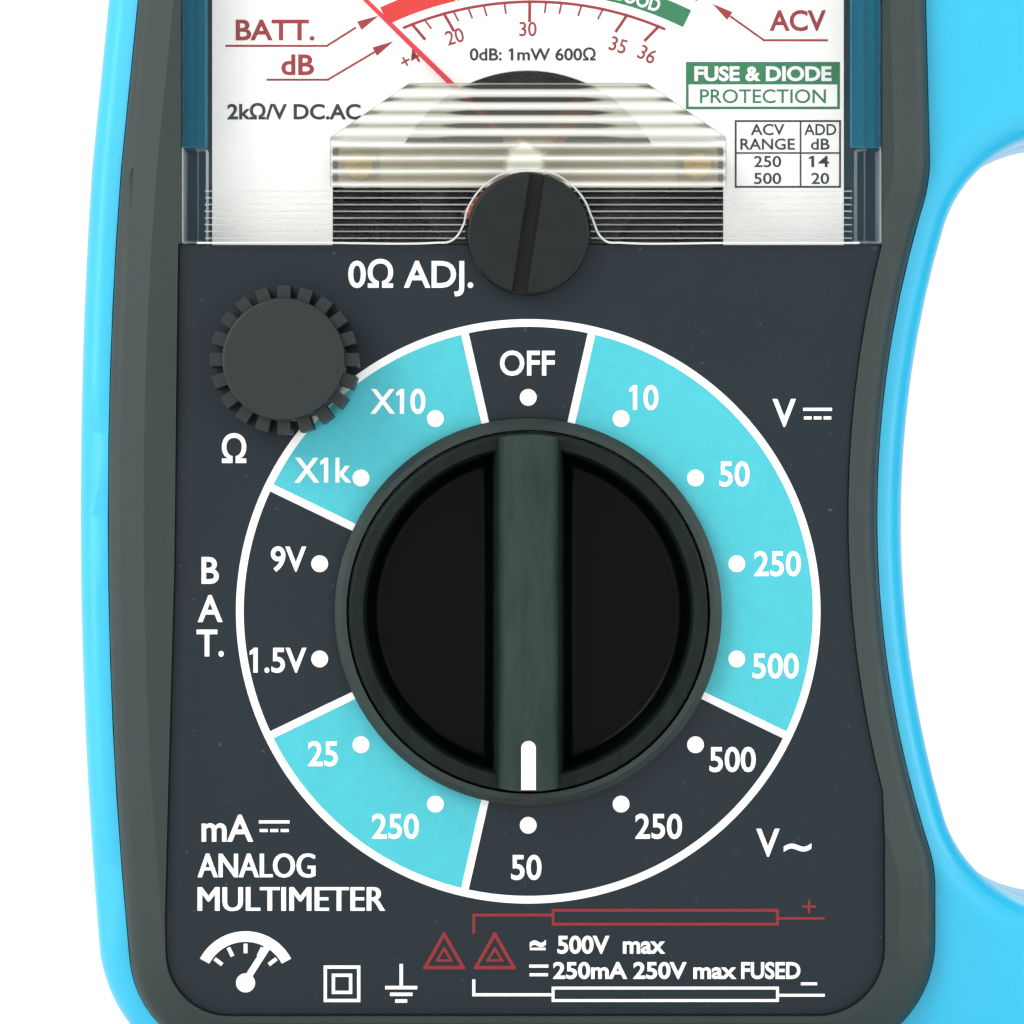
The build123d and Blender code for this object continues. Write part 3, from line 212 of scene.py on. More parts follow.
def slotted_moulding():
    """The zero screw's plastic, with painted shade darkening the floor of its slot."""
    n = Nodes("zero_plastic")
    rise = n.ramp(n.millimetres(1, -1), SLOT_FLOOR, SLOT_EDGE)
    scuff = n.noise(300, 5, 0.65)
    face = n.mix(n.ramp(scuff, 0.35, 0.7), linear(2, 12, 14), linear(10, 20, 22))
    # the near-black floor of the slot is painted shade
    n.set(Base_Color=n.mix(rise, linear(0, 1, 1), face), Specular_IOR_Level=0.3)
    n.set(Roughness=n.ramp(scuff, 0.3, 0.7, 0.42, 0.54))
    fine = n.bump(n.noise(2400, 3, 0.6), 0.02 * MM, 0.7)
    n.set(Normal=n.bump(n.noise(260, 3), 0.02 * MM, 0.5, fine))
    return n.material


knob_plastic = knob_moulding()
zero_plastic = slotted_moulding()
WHITE_INK = ink("white_ink", linear(252, 253, 252))
CYAN_INK = ink("cyan_ink", CYAN)
RED_INK = ink("red_ink", linear(158, 8, 28))
DEEP_RED_INK = ink("deep_red_ink", linear(134, 14, 26))
SCARLET_INK = ink("scarlet_ink", linear(226, 22, 12))
BLACK_INK = ink("black_ink", linear(8, 8, 10))
GREEN_INK = ink("green_ink", linear(8, 122, 74))


def printed_film():
    """The dark legend film: a smooth print under a fine matte lacquer."""
    n = Nodes("panel_film")
    tone = n.mix(n.ramp(n.noise(30, 4), 0.3, 0.7), scaled(NAVY, 0.94), scaled(NAVY, 1.07))
    specks = n.ramp(n.noise(1500, 2, 0.4), 0.70, 0.78, 0, 0.35)
    n.set(Base_Color=n.mix(specks, tone, linear(96, 106, 116)))
    n.set(Roughness=n.ramp(n.noise(90, 5), 0.3, 0.7, 0.38, 0.5), Specular_IOR_Level=0.36)
    n.set(Normal=n.bump(n.noise(3200, 2), 0.006 * MM, 0.6))
    return n.material


def scale_enamel():
    """The white plate: matte enamel with a faint painted glow, an emission that brightens it against the shade of
    its recess.
    """
    n = Nodes("scale_enamel")
    tone = n.mix(n.ramp(n.noise(400, 4), 0.3, 0.7), linear(254, 255, 252), linear(249, 251, 247))
    # the emission is a painted glow: the plate gives no light of its own
    n.set(Base_Color=tone, Emission_Color=tone, Emission_Strength=0.10)
    n.set(Roughness=n.ramp(n.noise(60, 4), 0.3, 0.7, 0.5, 0.6))
    n.set(Normal=n.bump(n.noise(1800, 2), 0.004 * MM, 0.5))
    return n.material


def laminate():
    """Bare circuit-board laminate with its weave."""
    n = Nodes("board_laminate")
    weave = n.noise(500, 3, 0.6, n.stretched((1, 1, 8)))
    n.set(Base_Color=n.mix(weave, linear(150, 118, 60), linear(186, 150, 84)))
    n.set(Roughness=n.ramp(weave, 0.3, 0.7, 0.35, 0.55))
    n.set(Normal=n.bump(weave, 0.01 * MM, 0.6))
    return n.material


def clear_sheet(name, tint, clear=0.06, edge=0.75, rough=0.05):
    """Thin clear moulding: see-through face on; where it is seen at a slant it turns more opaque and white, a
    painted reflection.
    """
    n = Nodes(name)
    slant = n.add("ShaderNodeLayerWeight", Blend=0.35).outputs["Facing"]
    # the white towards a slant, with the rising alpha, is a painted reflection
    n.set(Base_Color=n.mix(slant, tint, linear(250, 252, 252)))
    n.set(Roughness=n.ramp(n.noise(200, 4), 0.3, 0.7, rough, rough * 2))
    n.set(Alpha=n.ramp(slant, 0.02, 0.75, clear, edge))
    n.set(Normal=n.bump(n.noise(500, 2), 0.004 * MM, 0.3))
    n.set(Specular_IOR_Level=0.6)
    return n


# window, in millimetres: a band of fine ribs below, and a raised lens of wide ribs that narrows above
# its shoulder
BAND_LOW, BAND_HIGH, BAND_HALF, BAND_PITCH = 88.7, 94.6, 33.8, 0.70
LENS_LOW, LENS_SHOULDER, LENS_HIGH, LENS_PITCH = 94.6, 99.8, 105.5, 1.36
LENS_HALF, LENS_TOP_HALF, LENS_CREST, RAIL_LOW = 20.7, 12.4, 95.6, 98.8
SKIN = 14.3  # only faces in front of this depth carry the rib pattern
DARK_HALF, DARK_SPREAD = 7.6, 0.55  # half width of the dark gap at the lens top, and its growth downwards
# centre of the window's painted glare, a highlight painted into its colour
GLARE_SPOT = (-0.0004, -0.0150, 0.0972)  # metres
IVORY_LOW, IVORY_HIGH = linear(182, 180, 162), linear(168, 167, 151)
# the pale crest colours are painted highlights on the ribs
CREST_HIGHLIGHT, TROUGH_BLACK, FINE_CREST_HIGHLIGHT = linear(248, 250, 246), linear(20, 23, 23), linear(186, 190, 187)
RAIL_BLUE = linear(10, 40, 58)


def ribbed_window():
    """Clear moulding with painted highlights on its rib crests and a painted glare spot; its ribs also smear what
    lies behind them.
    """
    n = clear_sheet("clear_window", linear(236, 244, 244), 0.015, 0.5, 0.03)
    x, z = n.math("ABSOLUTE", n.millimetres(0)), n.millimetres(2)

    def between(value, low, high):
        return n.math("MULTIPLY", n.math("GREATER_THAN", value, low), n.math("LESS_THAN", value, high))

    def crest(pitch, start, width):
        phase = n.math("FRACT", n.math("DIVIDE", n.math("SUBTRACT", z, start), pitch))
        away = n.math("ABSOLUTE", n.math("SUBTRACT", phase, 0.5))
        return n.ramp(away, 0.0, width, 1.0, 0.0)

    def largest(first, *others):
        for other in others:
            first = n.math("MAXIMUM", first, other)
        return first

    # where the band, the lens and the lens's upper part are
    band = n.math("MULTIPLY", between(z, BAND_LOW, BAND_HIGH), n.math("LESS_THAN", x, BAND_HALF))
    half = n.ramp(z, LENS_SHOULDER, LENS_HIGH, LENS_HALF, LENS_TOP_HALF)
    lens = n.math("MULTIPLY", between(z, LENS_LOW, LENS_HIGH), n.math("LESS_THAN", x, half))
    upper = n.ramp(z, LENS_SHOULDER - 0.3, LENS_SHOULDER + 0.1)
    inside = n.math("SUBTRACT", half, x)
    # painted highlights on the crests, broken up along their length, and a painted glare in the middle
    streak = n.noise(60, 4, 0.6, n.stretched((1, 1, 14)))
    fine = n.math("MULTIPLY", crest(BAND_PITCH, BAND_LOW + 0.25, 0.16), n.ramp(streak, 0.3, 0.7, 0.45, 0.95))
    line = n.math("MULTIPLY", crest(LENS_PITCH, LENS_CREST, 0.4), n.ramp(streak, 0.3, 0.7, 0.7, 0.95))
    spot = n.add("ShaderNodeVectorMath", Vector=n.place)
    spot.operation = "DISTANCE"
    spot.inputs[1].default_value = GLARE_SPOT
    ragged = n.math("ADD", spot.outputs["Value"], n.math("MULTIPLY", n.noise(900, 3), 0.0016))
    glare = n.ramp(ragged, 0.0024, 0.0034, 0.95, 0.0)
    pale = largest(line, n.ramp(upper, 0, 1, 0.12, 0.86), glare)
    # the dark gap under the lens shows in every rib, longest near the middle, and again at the slanted ends
    drift = n.math("MULTIPLY", n.math("SUBTRACT", LENS_HIGH, z), DARK_SPREAD)
    centre = n.ramp(n.math("SUBTRACT", x, n.math("ADD", drift, DARK_HALF)), -3.0, 1.2, 1.0, 0.0)
    ends = n.ramp(inside, 0.0, 3.2, 0.95, 0.0)
    reach = largest(centre, ends, n.ramp(streak, 0.35, 0.65, 0.3, 0.5), n.ramp(upper, 0, 1, 0.85, 0.0))
    trough = crest(LENS_PITCH, LENS_CREST + LENS_PITCH / 2, 0.36)
    dark = n.ramp(n.math("MULTIPLY", trough, reach), 0.25, 0.62, 0.0, 0.93)
    dark = n.math("MULTIPLY", dark, n.ramp(z, LENS_SHOULDER - 1.0, 103.0, 0.62, 1.0))
    rim = n.math("MAXIMUM", n.ramp(inside, 0.0, 0.22, 0.8, 0.0),
                 n.ramp(n.math("SUBTRACT", LENS_HIGH, z), 0.0, 0.18, 0.8, 0.0))
    dark = n.math("MAXIMUM", n.math("SUBTRACT", dark, glare, True), rim)
    # colour, then how much of it covers what is behind
    ribbed = n.math("ADD", band, lens, True)
    bright = n.mix(line, n.mix(upper, IVORY_LOW, IVORY_HIGH), CREST_HIGHLIGHT)
    lines = n.mix(lens, FINE_CREST_HIGHLIGHT, n.mix(dark, bright, TROUGH_BLACK))
    tone = n.shader.inputs["Base Color"].links[0].from_socket
    side = n.math("MULTIPLY", n.math("GREATER_THAN", x, BAND_HALF), n.math("GREATER_THAN", z, RAIL_LOW))
    n.set(Base_Color=n.mix(side, n.mix(ribbed, tone, lines), RAIL_BLUE))
    slant = n.shader.inputs["Alpha"].links[0].from_socket
    bare = n.math("MULTIPLY", slant, n.ramp(ribbed, 0, 1, 1.0, 0.3))
    lens_glow = n.math("MULTIPLY", lens, n.math("MAXIMUM", pale, dark))
    glow = n.math("ADD", n.math("MULTIPLY", band, fine), lens_glow)
    cover = n.math("ADD", n.math("MULTIPLY", glow, 0.93), n.math("MULTIPLY", side, 0.5))
    film = n.math("MULTIPLY", n.math("GREATER_THAN", n.millimetres(1, -1), SKIN), cover)
    n.set(Alpha=n.math("ADD", bare, film, True), Specular_IOR_Level=0.26)
    return n.material


clear_window = ribbed_window()
clear_amber = clear_sheet("clear_amber", linear(232, 222, 186), 0.35, 0.9, 0.08).material
fuse_glass = clear_sheet("fuse_glass_clear", linear(226, 240, 236), 0.12, 0.8, 0.03).material
panel_film = printed_film()
enamel = scale_enamel()
board_laminate = laminate()

LOOKS = {
    blue_plastic: ("rear_shell", "front_shell", "battery_cover"),
    black_plastic: ("front_case", "socket_insulators"),
    thumb_plastic: ("ohm_adjust_knob",),
    zero_plastic: ("zero_adjust_screw",),
    knob_plastic: ("selector_knob",),
    panel_film: ("printed_panel",),
    clear_window: ("meter_window",),
    enamel: ("scale_plate",),
    dark_frame: ("movement_frame",),
    clear_amber: ("bearing_bridge",),
    white_inlay: ("knob_pointer_line",),
    nylon: ("switch_rotor",),
    needle_red: ("needle",),
    zinc: ("scale_screws", "movement_screws", "board_screws", "case_screws", "cover_screw"),
    spring_steel: ("selector_clip", "detent_balls", "detent_springs", "coil_pivots"),
    dark_steel: ("magnet_yoke", "potentiometer_body"),
    magnet: ("core_magnet", "core_holder"),
    brass: ("bridge_screws", "front_jewel_screw", "rear_jewel_screw", "wiper_contacts",
            "fuse_clips", "socket_sleeves", "front_hairspring", "rear_hairspring"),
    copper: ("moving_coil", "contact_pads"),
    nickel: ("potentiometer_pins", "resistor_leads", "diode_leads", "fuse_caps", "fuse_wire",
             "battery_contacts", "battery_spring", "balance_weights"),
    aluminium: ("potentiometer_shaft", "zero_adjust_arm"),
    component_tan: ("resistors",),
    component_black: ("diodes",),
    capacitor_green: ("capacitor",),
    fuse_glass: ("fuse_glass",),
    battery_wrap: ("battery",),
    wire_insulation: ("movement_leads", "battery_leads", "socket_leads"),
    board_laminate: ("circuit_board",),
}
for material, nodes in LOOKS.items():
    for node in nodes:
        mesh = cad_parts[node].data
        if not mesh.materials:
            mesh.materials.append(material)
        for index in range(len(mesh.materials)):
            mesh.materials[index] = material


# ------------------------------------------------------------------ flat prints
CAPITAL = 0.69  # capital height of the built-in letters at size 1
ONE_STROKE = 0.075  # width of the built-in figure one
SQUEEZE = 0.92  # width of letters whose line has no stated width
LAYER, LAYERS = 0.001, 24  # depth step between strokes, and after how many it starts again
FINE_STEP = 0.7  # degrees between the corners of a scale arc
DOT_SIDES = 40


class Print:
    """Flat ink shapes of one colour on a face of the case that looks along -Y.

    All sizes are in millimetres, and the ink lies at a depth in front of y = 0.
    """

    def __init__(self, name, depth, material):
        self.name, self.base, self.material = name, depth, material
        self.mesh = bmesh.new()
        self.strokes = 0

    @property
    def depth(self):
        """Each stroke lies a hair above the one before it, so that crossing strokes never share a plane."""
        return self.base + LAYER * (self.strokes % LAYERS)

    def face(self, points, new_stroke=True):
        self.strokes += new_stroke
        corners = [self.mesh.verts.new((x * MM, -self.depth * MM, z * MM)) for x, z in points]
        face = self.mesh.faces.new(corners)
        face.normal_update()
        if face.normal.y > 0:
            face.normal_flip()

    def line(self, points, width):
        for (x0, z0), (x1, z1) in zip(points, points[1:]):
            along = Vector((x1 - x0, z1 - z0)).normalized() * width / 2
            across = Vector((-along.y, along.x))
            self.face([(x0 - along.x + across.x, z0 - along.y + across.y),
                       (x0 - along.x - across.x, z0 - along.y - across.y),
                       (x1 + along.x - across.x, z1 + along.y - across.y),
                       (x1 + along.x + across.x, z1 + along.y + across.y)])

    def outline(self, corners, width):
        """A closed line through these corners."""
        self.line(corners + corners[:1], width)

    def arc(self, centre, inner, outer, start, end, step=1.5):
        """Part of a ring; angles in degrees clockwise from straight up."""
        self.strokes += 1
        count = max(2, math.ceil(abs(end - start) / step))
        rows = []
        for index in range(count + 1):
            angle = math.radians(start + (end - start) * index / count)
            rows.append([(centre[0] + r * math.sin(angle), centre[1] + r * math.cos(angle))
                         for r in (inner, outer)])
        for first, second in zip(rows, rows[1:]):
            self.face([first[0], first[1], second[1], second[0]], new_stroke=False)

    def dot(self, x, z, radius):
        turn = math.tau / DOT_SIDES
        self.face([(x + radius * math.cos(turn * side), z + radius * math.sin(turn * side))
                   for side in range(DOT_SIDES)])

    def text(self, words, x, z, height, width=None, angle=0, bold=0.018, align="CENTER"):
        """Letters with the given capital height at (x, z), turned clockwise by angle degrees.

        A width stretches the whole line to fit. bold widens the strokes, as a share of the letter size.
        """
        made = letter_shapes(words, bold)
        self.strokes += 1
        xs = [v.co.x for v in made.vertices]
        tall = height / CAPITAL
        wide = tall * SQUEEZE if width is None else width / (max(xs) - min(xs))
        middle = (max(xs) + min(xs)) / 2 if align == "CENTER" else min(xs)
        turn = Matrix.Rotation(-math.radians(angle), 2)
        placed = []
        for vertex in made.vertices:
            flat = turn @ Vector(((vertex.co.x - middle) * wide, (vertex.co.y - CAPITAL / 2) * tall))
            placed.append(self.mesh.verts.new(((x + flat.x) * MM, -self.depth * MM, (z + flat.y) * MM)))
        for polygon in made.polygons:
            try:
                face = self.mesh.faces.new([placed[i] for i in polygon.vertices])
            except ValueError:
                continue
            face.normal_update()
            if face.normal.y > 0:
                face.normal_flip()
        # the built-in figure one is a bare stroke, so it gets its flag here
        for index, letter in enumerate(words):
            if letter == "1":
                stem = letter_edge(words[:index + 1], bold) - letter_edge("", bold) - ONE_STROKE - 2 * bold
                flag = [(stem + 0.02, CAPITAL + bold), (stem + 0.02, CAPITAL - 0.13),
                        (stem - 0.14, CAPITAL - 0.2), (stem - 0.14, CAPITAL - 0.09)]
                turned = [turn @ Vector(((u - middle) * wide, (v - CAPITAL / 2) * tall)) for u, v in flag]
                self.face([(x + point.x, z + point.y) for point in turned])
        bpy.data.meshes.remove(made)

    def done(self):
        data = bpy.data.meshes.new(self.name)
        self.mesh.to_mesh(data)
        self.mesh.free()
        data.materials.append(self.material)
        piece = bpy.data.objects.new(self.name, data)
        bpy.context.scene.collection.objects.link(piece)
        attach(piece, "case")


def letter_shapes(words, bold):
    """The built-in letters as a flat mesh at size 1, starting at x = 0."""
    curve = bpy.data.curves.new("letters", "FONT")
    curve.body = words
    curve.resolution_u = 4
    curve.offset = bold
    holder = bpy.data.objects.new("letters", curve)
    bpy.context.scene.collection.objects.link(holder)
    bpy.context.view_layer.update()
    made = bpy.data.meshes.new_from_object(holder.evaluated_get(bpy.context.evaluated_depsgraph_get()))
    bpy.data.objects.remove(holder)
    bpy.data.curves.remove(curve)
    return made


def letter_edge(words, bold):
    """How far right these letters reach at size 1."""
    if not words:
        return 0.0
    made = letter_shapes(words, bold)
    edge = max(vertex.co.x for vertex in made.vertices)
    bpy.data.meshes.remove(made)
    return edge


def around(centre, radius, degrees):
    """The point at this radius and angle, clockwise from straight up."""
    angle = math.radians(degrees)
    return centre[0] + radius * math.sin(angle), centre[1] + radius * math.cos(angle)


# ------------------------------------------------------------------ legends round the selector
DIAL = (0.0, 50.3)
POSITIONS = 14
STEP = 360 / POSITIONS
PANEL = 14.0  # depth of the panel's face
UNDER_INK, OVER_INK = PANEL + 0.02, PANEL + 0.045
SECTORS = ((0.5, 4.5), (7.5, 9.5), (11.5, 13.5))  # first and last edge, in steps from the top
SECTOR_EDGES = (0.5, 4.5, 7.5, 9.5, 11.5, 13.5)
RANGES = (("OFF", -0.1, 76.3), ("10", 12.3, 72.7), ("50", 21.6, 64.7), ("250", 26.1, 55.3),
          ("500", 25.9, 44.6), ("500", 21.4, 34.8), ("250", 13.65, 27.8), ("50", -0.2, 23.5),
          ("250", -13.9, 27.8), ("25", -21.5, 35.4), ("1.5V", -26.0, 45.2), ("9V", -25.1, 55.8),
          ("X1k", -21.5, 65.1), ("X10", -13.65, 72.3))

cyan = Print("print_cyan_sectors", UNDER_INK, CYAN_INK)
for start, end in SECTORS:
    cyan.arc(DIAL, 20.25, 29.95, start * STEP, end * STEP)
cyan.done()

white = Print("print_white_legend", OVER_INK, WHITE_INK)
white.arc(DIAL, 29.8, 30.6, 0, 360)
for index in SECTOR_EDGES:
    white.line([around(DIAL, radius, index * STEP) for radius in (20.6, 30.0)], 0.8)
for index in range(POSITIONS):
    white.dot(*around(DIAL, 22.4, index * STEP), 0.88)
for words, x, z in RANGES:
    white.text(words, x, z, 2.5)
white.text("0Ω ADJ.", -12.3, 85.6, 2.7, 13.1)
white.text("Ω", -30.8, 67.3, 2.8)
for words, z in (("B", 54.6), ("A", 50.6), ("T.", 47.0)):
    white.text(words, -33.3, z, 2.7)
white.text("V", 26.8, 71.1, 2.8)
white.text("V", 25.1, 26.1, 2.8)
white.text("~", 28.2, 25.9, 3.0, 2.9)
white.text("mA", -31.5, 27.6, 2.7, 5.4)
# an outline offset leaves gaps in the Ms, so these two lines are made bold by repeats
for shift in (-0.08, 0.0, 0.08):
    white.text("ANALOG", -34.55 + shift, 23.7, 2.5, 12.2, bold=0.0, align="LEFT")
    white.text("MULTIMETER", -34.55 + shift, 20.2, 2.5, 19.5, bold=0.0, align="LEFT")


def direct_sign(ink_print, x, z, width):
    """The sign for direct current: a bar over three dashes."""
    ink_print.line([(x - width / 2, z + 0.45), (x + width / 2, z + 0.45)], 0.32)
    for shift in (-1, 0, 1):
        middle = x + shift * width * 0.38
        ink_print.line([(middle - width * 0.09, z - 0.45), (middle + width * 0.09, z - 0.45)], 0.32)


direct_sign(white, 30.3, 71.0, 2.7)
direct_sign(white, -26.6, 27.8, 2.9)
# ratings beside the lead diagram
white.text("~", 1.0, 15.75, 2.3, 1.7, bold=0.03)
white.line([(0.3, 14.95), (1.7, 14.95)], 0.26)
white.text("500V  max", 8.7, 15.4, 1.75, 11.3, bold=0.028)
direct_sign(white, 1.1, 12.7, 1.7)
white.text("250mA 250V max", 12.2, 12.7, 1.65, 19.2, bold=0.028)
white.text("FUSED", 25.4, 12.7, 1.65, 6.2, bold=0.028)
white.line([(-5.7, 11.6), (-5.7, 10.15), (2.6, 10.15)], 0.32)
white.line([(26.1, 10.1), (30.9, 10.1)], 0.3)
white.outline([(2.6, 10.85), (26.1, 10.85), (26.1, 9.55), (2.6, 9.55)], 0.3)
white.line([(28.7, 11.3), (30.1, 11.3)], 0.3)
# earth sign, nested squares and a small meter pictogram
EARTH_X = -13.3
SQUARES = (-19.5, 11.3)
METER_SIGN = (-29.6, 11.4)
white.line([(EARTH_X, 13.2), (EARTH_X, 10.9)], 0.36)
for half, z in ((1.5, 10.9), (1.0, 10.2), (0.45, 9.5)):
    white.line([(EARTH_X - half, z), (EARTH_X + half, z)], 0.36)
for half in (1.75, 0.9):
    white.outline([(SQUARES[0] + half * across, SQUARES[1] + half * up)
                   for across, up in ((-1, -1), (1, -1), (1, 1), (-1, 1))], 0.34)
white.arc(METER_SIGN, 4.3, 5.4, -62, 62)
white.line([(METER_SIGN[0], 11.6), (-27.3, 15.2)], 0.7)
white.dot(*METER_SIGN, 1.0)
for tick in (-52, -26, 0, 26, 52):
    white.line([around(METER_SIGN, radius, tick) for radius in (3.3, 3.9)], 0.4)
white.done()

red = Print("print_red_leads", OVER_INK, DEEP_RED_INK)
red.line([(-5.7, 16.7), (-5.7, 18.5), (2.6, 18.5)], 0.3)
red.line([(26.1, 18.15), (30.9, 18.15)], 0.26)
red.outline([(2.6, 19.0), (26.1, 19.0), (26.1, 17.55), (2.6, 17.55)], 0.3)
red.line([(28.8, 19.4), (30.0, 19.4)], 0.24)
red.line([(29.4, 18.8), (29.4, 20.0)], 0.24)
for x in (-8.8, -3.5):
    red.outline([(x - 2.0, 13.0), (x + 2.0, 13.0), (x, 16.5)], 0.36)
    red.outline([(x - 0.75, 13.75), (x + 0.75, 13.75), (x, 15.0)], 0.26)
red.done()

# ------------------------------------------------------------------ scale plate
PIVOT = Vector((0.0, 98.2))
ARCS = Vector((0.5, 79.7))  # the scale arcs are flatter than the needle's own circle
LEFT_END, RIGHT_END = -43.5, 46.5  # needle angles at the ends of the scales
PLATE = 7.2  # depth of the plate's face
BAND_RADIUS, BAND_INNER, BAND_OUTER = 37.3, 36.3, 38.3  # of the coloured battery-test band
BAND_ENDS = (-24, 17)  # needle angles where its red part ends and its green part starts
DB_RADIUS, RED_RADIUS, BLACK_RADIUS, OHM_RADIUS = 35.3, 39.6, 44.4, 46.4


def spoke(angle, radius):
    """Where the needle at this angle crosses the scale arc of this radius."""
    toward = Vector((math.sin(math.radians(angle)), math.cos(math.radians(angle))))
    back = PIVOT - ARCS
    middle = -back.dot(toward)
    return PIVOT + toward * (middle + math.sqrt(middle ** 2 - back.dot(back) + radius ** 2))


def arc_angle(point):
    """The angle of a point about the centre of the scale arcs, in degrees from straight up."""
    offset = point - ARCS
    return math.degrees(math.atan2(offset.x, offset.y))


def needle_arc(ink_print, radius, inner, outer, start, end):
    """Part of a ring about the arcs' centre, between two needle angles measured at a radius."""
    limits = [arc_angle(spoke(angle, radius)) for angle in (start, end)]
    ink_print.arc(ARCS, inner, outer, limits[0], limits[1], FINE_STEP)


def scale_arc(ink_print, radius, width):
    needle_arc(ink_print, radius, radius - width / 2, radius + width / 2, LEFT_END, RIGHT_END)


def ticks(ink_print, fractions, near, far, width):
    """Marks along the needle's direction, at these shares of its swing."""
    for fraction in fractions:
        first, second = spoke(share(fraction), near), spoke(share(fraction), far)
        ink_print.line([tuple(first), tuple(second)], width)


def inward_ticks(ink_print, angles, length, width):
    """Marks of the decibel scale, pointing from its arc to the needle's pivot."""
    for angle in angles:
        start = ARCS + DB_RADIUS * Vector((math.sin(math.radians(angle)), math.cos(math.radians(angle))))
        ink_print.line([tuple(start), tuple(start + (PIVOT - start).normalized() * length)], width)


def share(fraction):
    """The needle angle at this share of its swing."""
    return LEFT_END + (RIGHT_END - LEFT_END) * fraction


def parts_of(count):
    return [index / count for index in range(count + 1)]


def numbers(ink_print, entries, radius, height):
    for words, fraction in entries:
        point = spoke(share(fraction), radius)
        ink_print.text(words, point.x, point.y, height, angle=arc_angle(point))


scarlet = Print("scale_scarlet", PLATE + 0.02, SCARLET_INK)
needle_arc(scarlet, BAND_RADIUS, BAND_INNER, BAND_OUTER, LEFT_END - 1.5, BAND_ENDS[0])
scarlet.done()

reds = Print("scale_red", PLATE + 0.03, RED_INK)
scale_arc(reds, DB_RADIUS, 0.3)
inward_ticks(reds, (-21.3, -15.5, -0.5, 16.5, 22.3), 2.0, 0.32)
inward_ticks(reds, (-19.0, -13.8, -11.2, -8.5, -4.9, 2.3, 5.0, 8.5, 12.2), 1.1, 0.2)
for words, x, z, angle in (("+4", -12.6, 108.9, -30), ("20", -7.8, 111.3, -16), ("30", 0.0, 112.1, 0),
                           ("35", 9.6, 110.4, 18), ("36", 12.7, 109.4, 26)):
    reds.text(words, x, z, 1.5, angle=angle, bold=0.008)
scale_arc(reds, RED_RADIUS, 0.3)
ticks(reds, parts_of(50), RED_RADIUS, 40.3, 0.13)
ticks(reds, parts_of(10), RED_RADIUS, 40.9, 0.24)
reds.text("BATT.", -26.9, 112.0, 2.1, 8.4, bold=0.022)
reds.line([(-32.1, 110.3), (-21.4, 110.3), (-18.4, 112.2)], 0.22)
reds.text("dB", -24.5, 108.3, 2.1, 3.5, bold=0.022)
reds.line([(-27.7, 106.7), (-21.3, 106.7), (-16.4, 109.6)], 0.22)
reds.text("ACV", 28.7, 113.0, 2.1, 6.0, bold=0.022)
reds.line([(31.8, 110.9), (25.1, 110.9), (21.6, 113.4)], 0.22)
# arrow heads
for tip, tail in (((-15.9, 113.5), (-18.6, 112.1)), ((-14.3, 110.8), (-17.0, 109.3)),
                  ((19.6, 114.8), (22.0, 113.1))):
    toward = (Vector(tip) - Vector(tail)).normalized() * 2.3
    side = Vector((-toward.y, toward.x)) * 0.22
    back = Vector(tip) - toward
    reds.face([tip, tuple(back + side), tuple(back - side)])
reds.done()

blacks = Print("scale_black", PLATE + 0.03, BLACK_INK)
scale_arc(blacks, BLACK_RADIUS, 0.26)
ticks(blacks, parts_of(50), 43.8, BLACK_RADIUS, 0.12)
ticks(blacks, parts_of(10), 43.3, BLACK_RADIUS, 0.22)
FULL_SCALE = 250
numbers(blacks, [(str(value), value / FULL_SCALE) for value in range(0, 251, 50)], 42.2, 1.35)
scale_arc(blacks, OHM_RADIUS, 0.26)
HALF_SCALE = 24  # resistance that brings the needle to the middle
OHM_MARKS = (0, 1, 2, 3, 4, 5, 7, 10, 15, 20, 25, 30, 40, 50, 70, 100, 150, 200, 300, 500, 1000)
OHM_NUMBERS = {0: "0", 5: "5", 10: "10", 20: "20", 50: "50", 100: "100", 200: "200", 1000: "1k"}


def ohm_share(value):
    return 1 - value / (value + HALF_SCALE)


ticks(blacks, [ohm_share(value) for value in OHM_MARKS], OHM_RADIUS, 47.2, 0.16)
ohm_entries = [(words, ohm_share(value)) for value, words in OHM_NUMBERS.items()]
numbers(blacks, ohm_entries + [("∞", -0.012)], 48.3, 1.35)
blacks.text("Ω", -28.6, 123.4, 2.1, bold=0.022)
blacks.text("DCV·A", -27.6, 119.0, 1.8, 6.6, bold=0.022)
blacks.text("Ω", 28.6, 123.4, 2.1, bold=0.022)
blacks.text("2kΩ/V DC.AC", -24.9, 103.3, 1.55, 14.2, bold=0.026)
blacks.text("0dB: 1mW 600Ω", 0.5, 109.4, 1.25, 13.4, bold=0.02)
# table of decibel corrections
blacks.outline([(22.1, 95.3), (33.2, 95.3), (33.2, 102.3), (22.1, 102.3)], 0.2)
blacks.line([(29.0, 95.3), (29.0, 102.3)], 0.17)
blacks.line([(22.1, 98.9), (33.2, 98.9)], 0.17)
for words, x, z, width in (("ACV", 25.5, 101.4, 3.6), ("RANGE", 25.5, 99.85, 5.8), ("250", 25.5, 98.0, 2.9),
                           ("500", 25.5, 96.2, 2.9), ("ADD", 31.1, 101.4, 3.4), ("dB", 31.1, 99.85, 2.0),
                           ("14", 31.1, 98.0, 1.9), ("20", 31.1, 96.2, 1.9)):
    blacks.text(words, x, z, 1.15, width, bold=0.014)
blacks.done()

greens = Print("scale_green", PLATE + 0.02, GREEN_INK)
needle_arc(greens, BAND_RADIUS, BAND_INNER, BAND_OUTER, BAND_ENDS[1], 48.5)
greens.face([(16.8, 106.2), (33.2, 106.2), (33.2, 108.6), (16.8, 108.6)])
greens.outline([(16.95, 103.7), (33.05, 103.7), (33.05, 108.45), (16.95, 108.45)], 0.28)
greens.text("PROTECTION", 25.0, 104.95, 1.45, 13.4, bold=0.008)
greens.done()

knocked = Print("scale_white_letters", PLATE + 0.04, WHITE_INK)
knocked.text("FUSE & DIODE", 25.0, 107.35, 1.45, 14.6, bold=0.036)
point = spoke(34, BAND_RADIUS)
knocked.text("GOOD", point.x, point.y, 1.35, 5.2, arc_angle(point), bold=0.03)
knocked.done()

# fine edges of the blank middle part of the band
band_edge = Print("scale_band_edge", PLATE + 0.025, SCARLET_INK)
for radius in (36.36, 38.24):
    needle_arc(band_edge, radius, radius - 0.06, radius + 0.06, *BAND_ENDS)
band_edge.done()
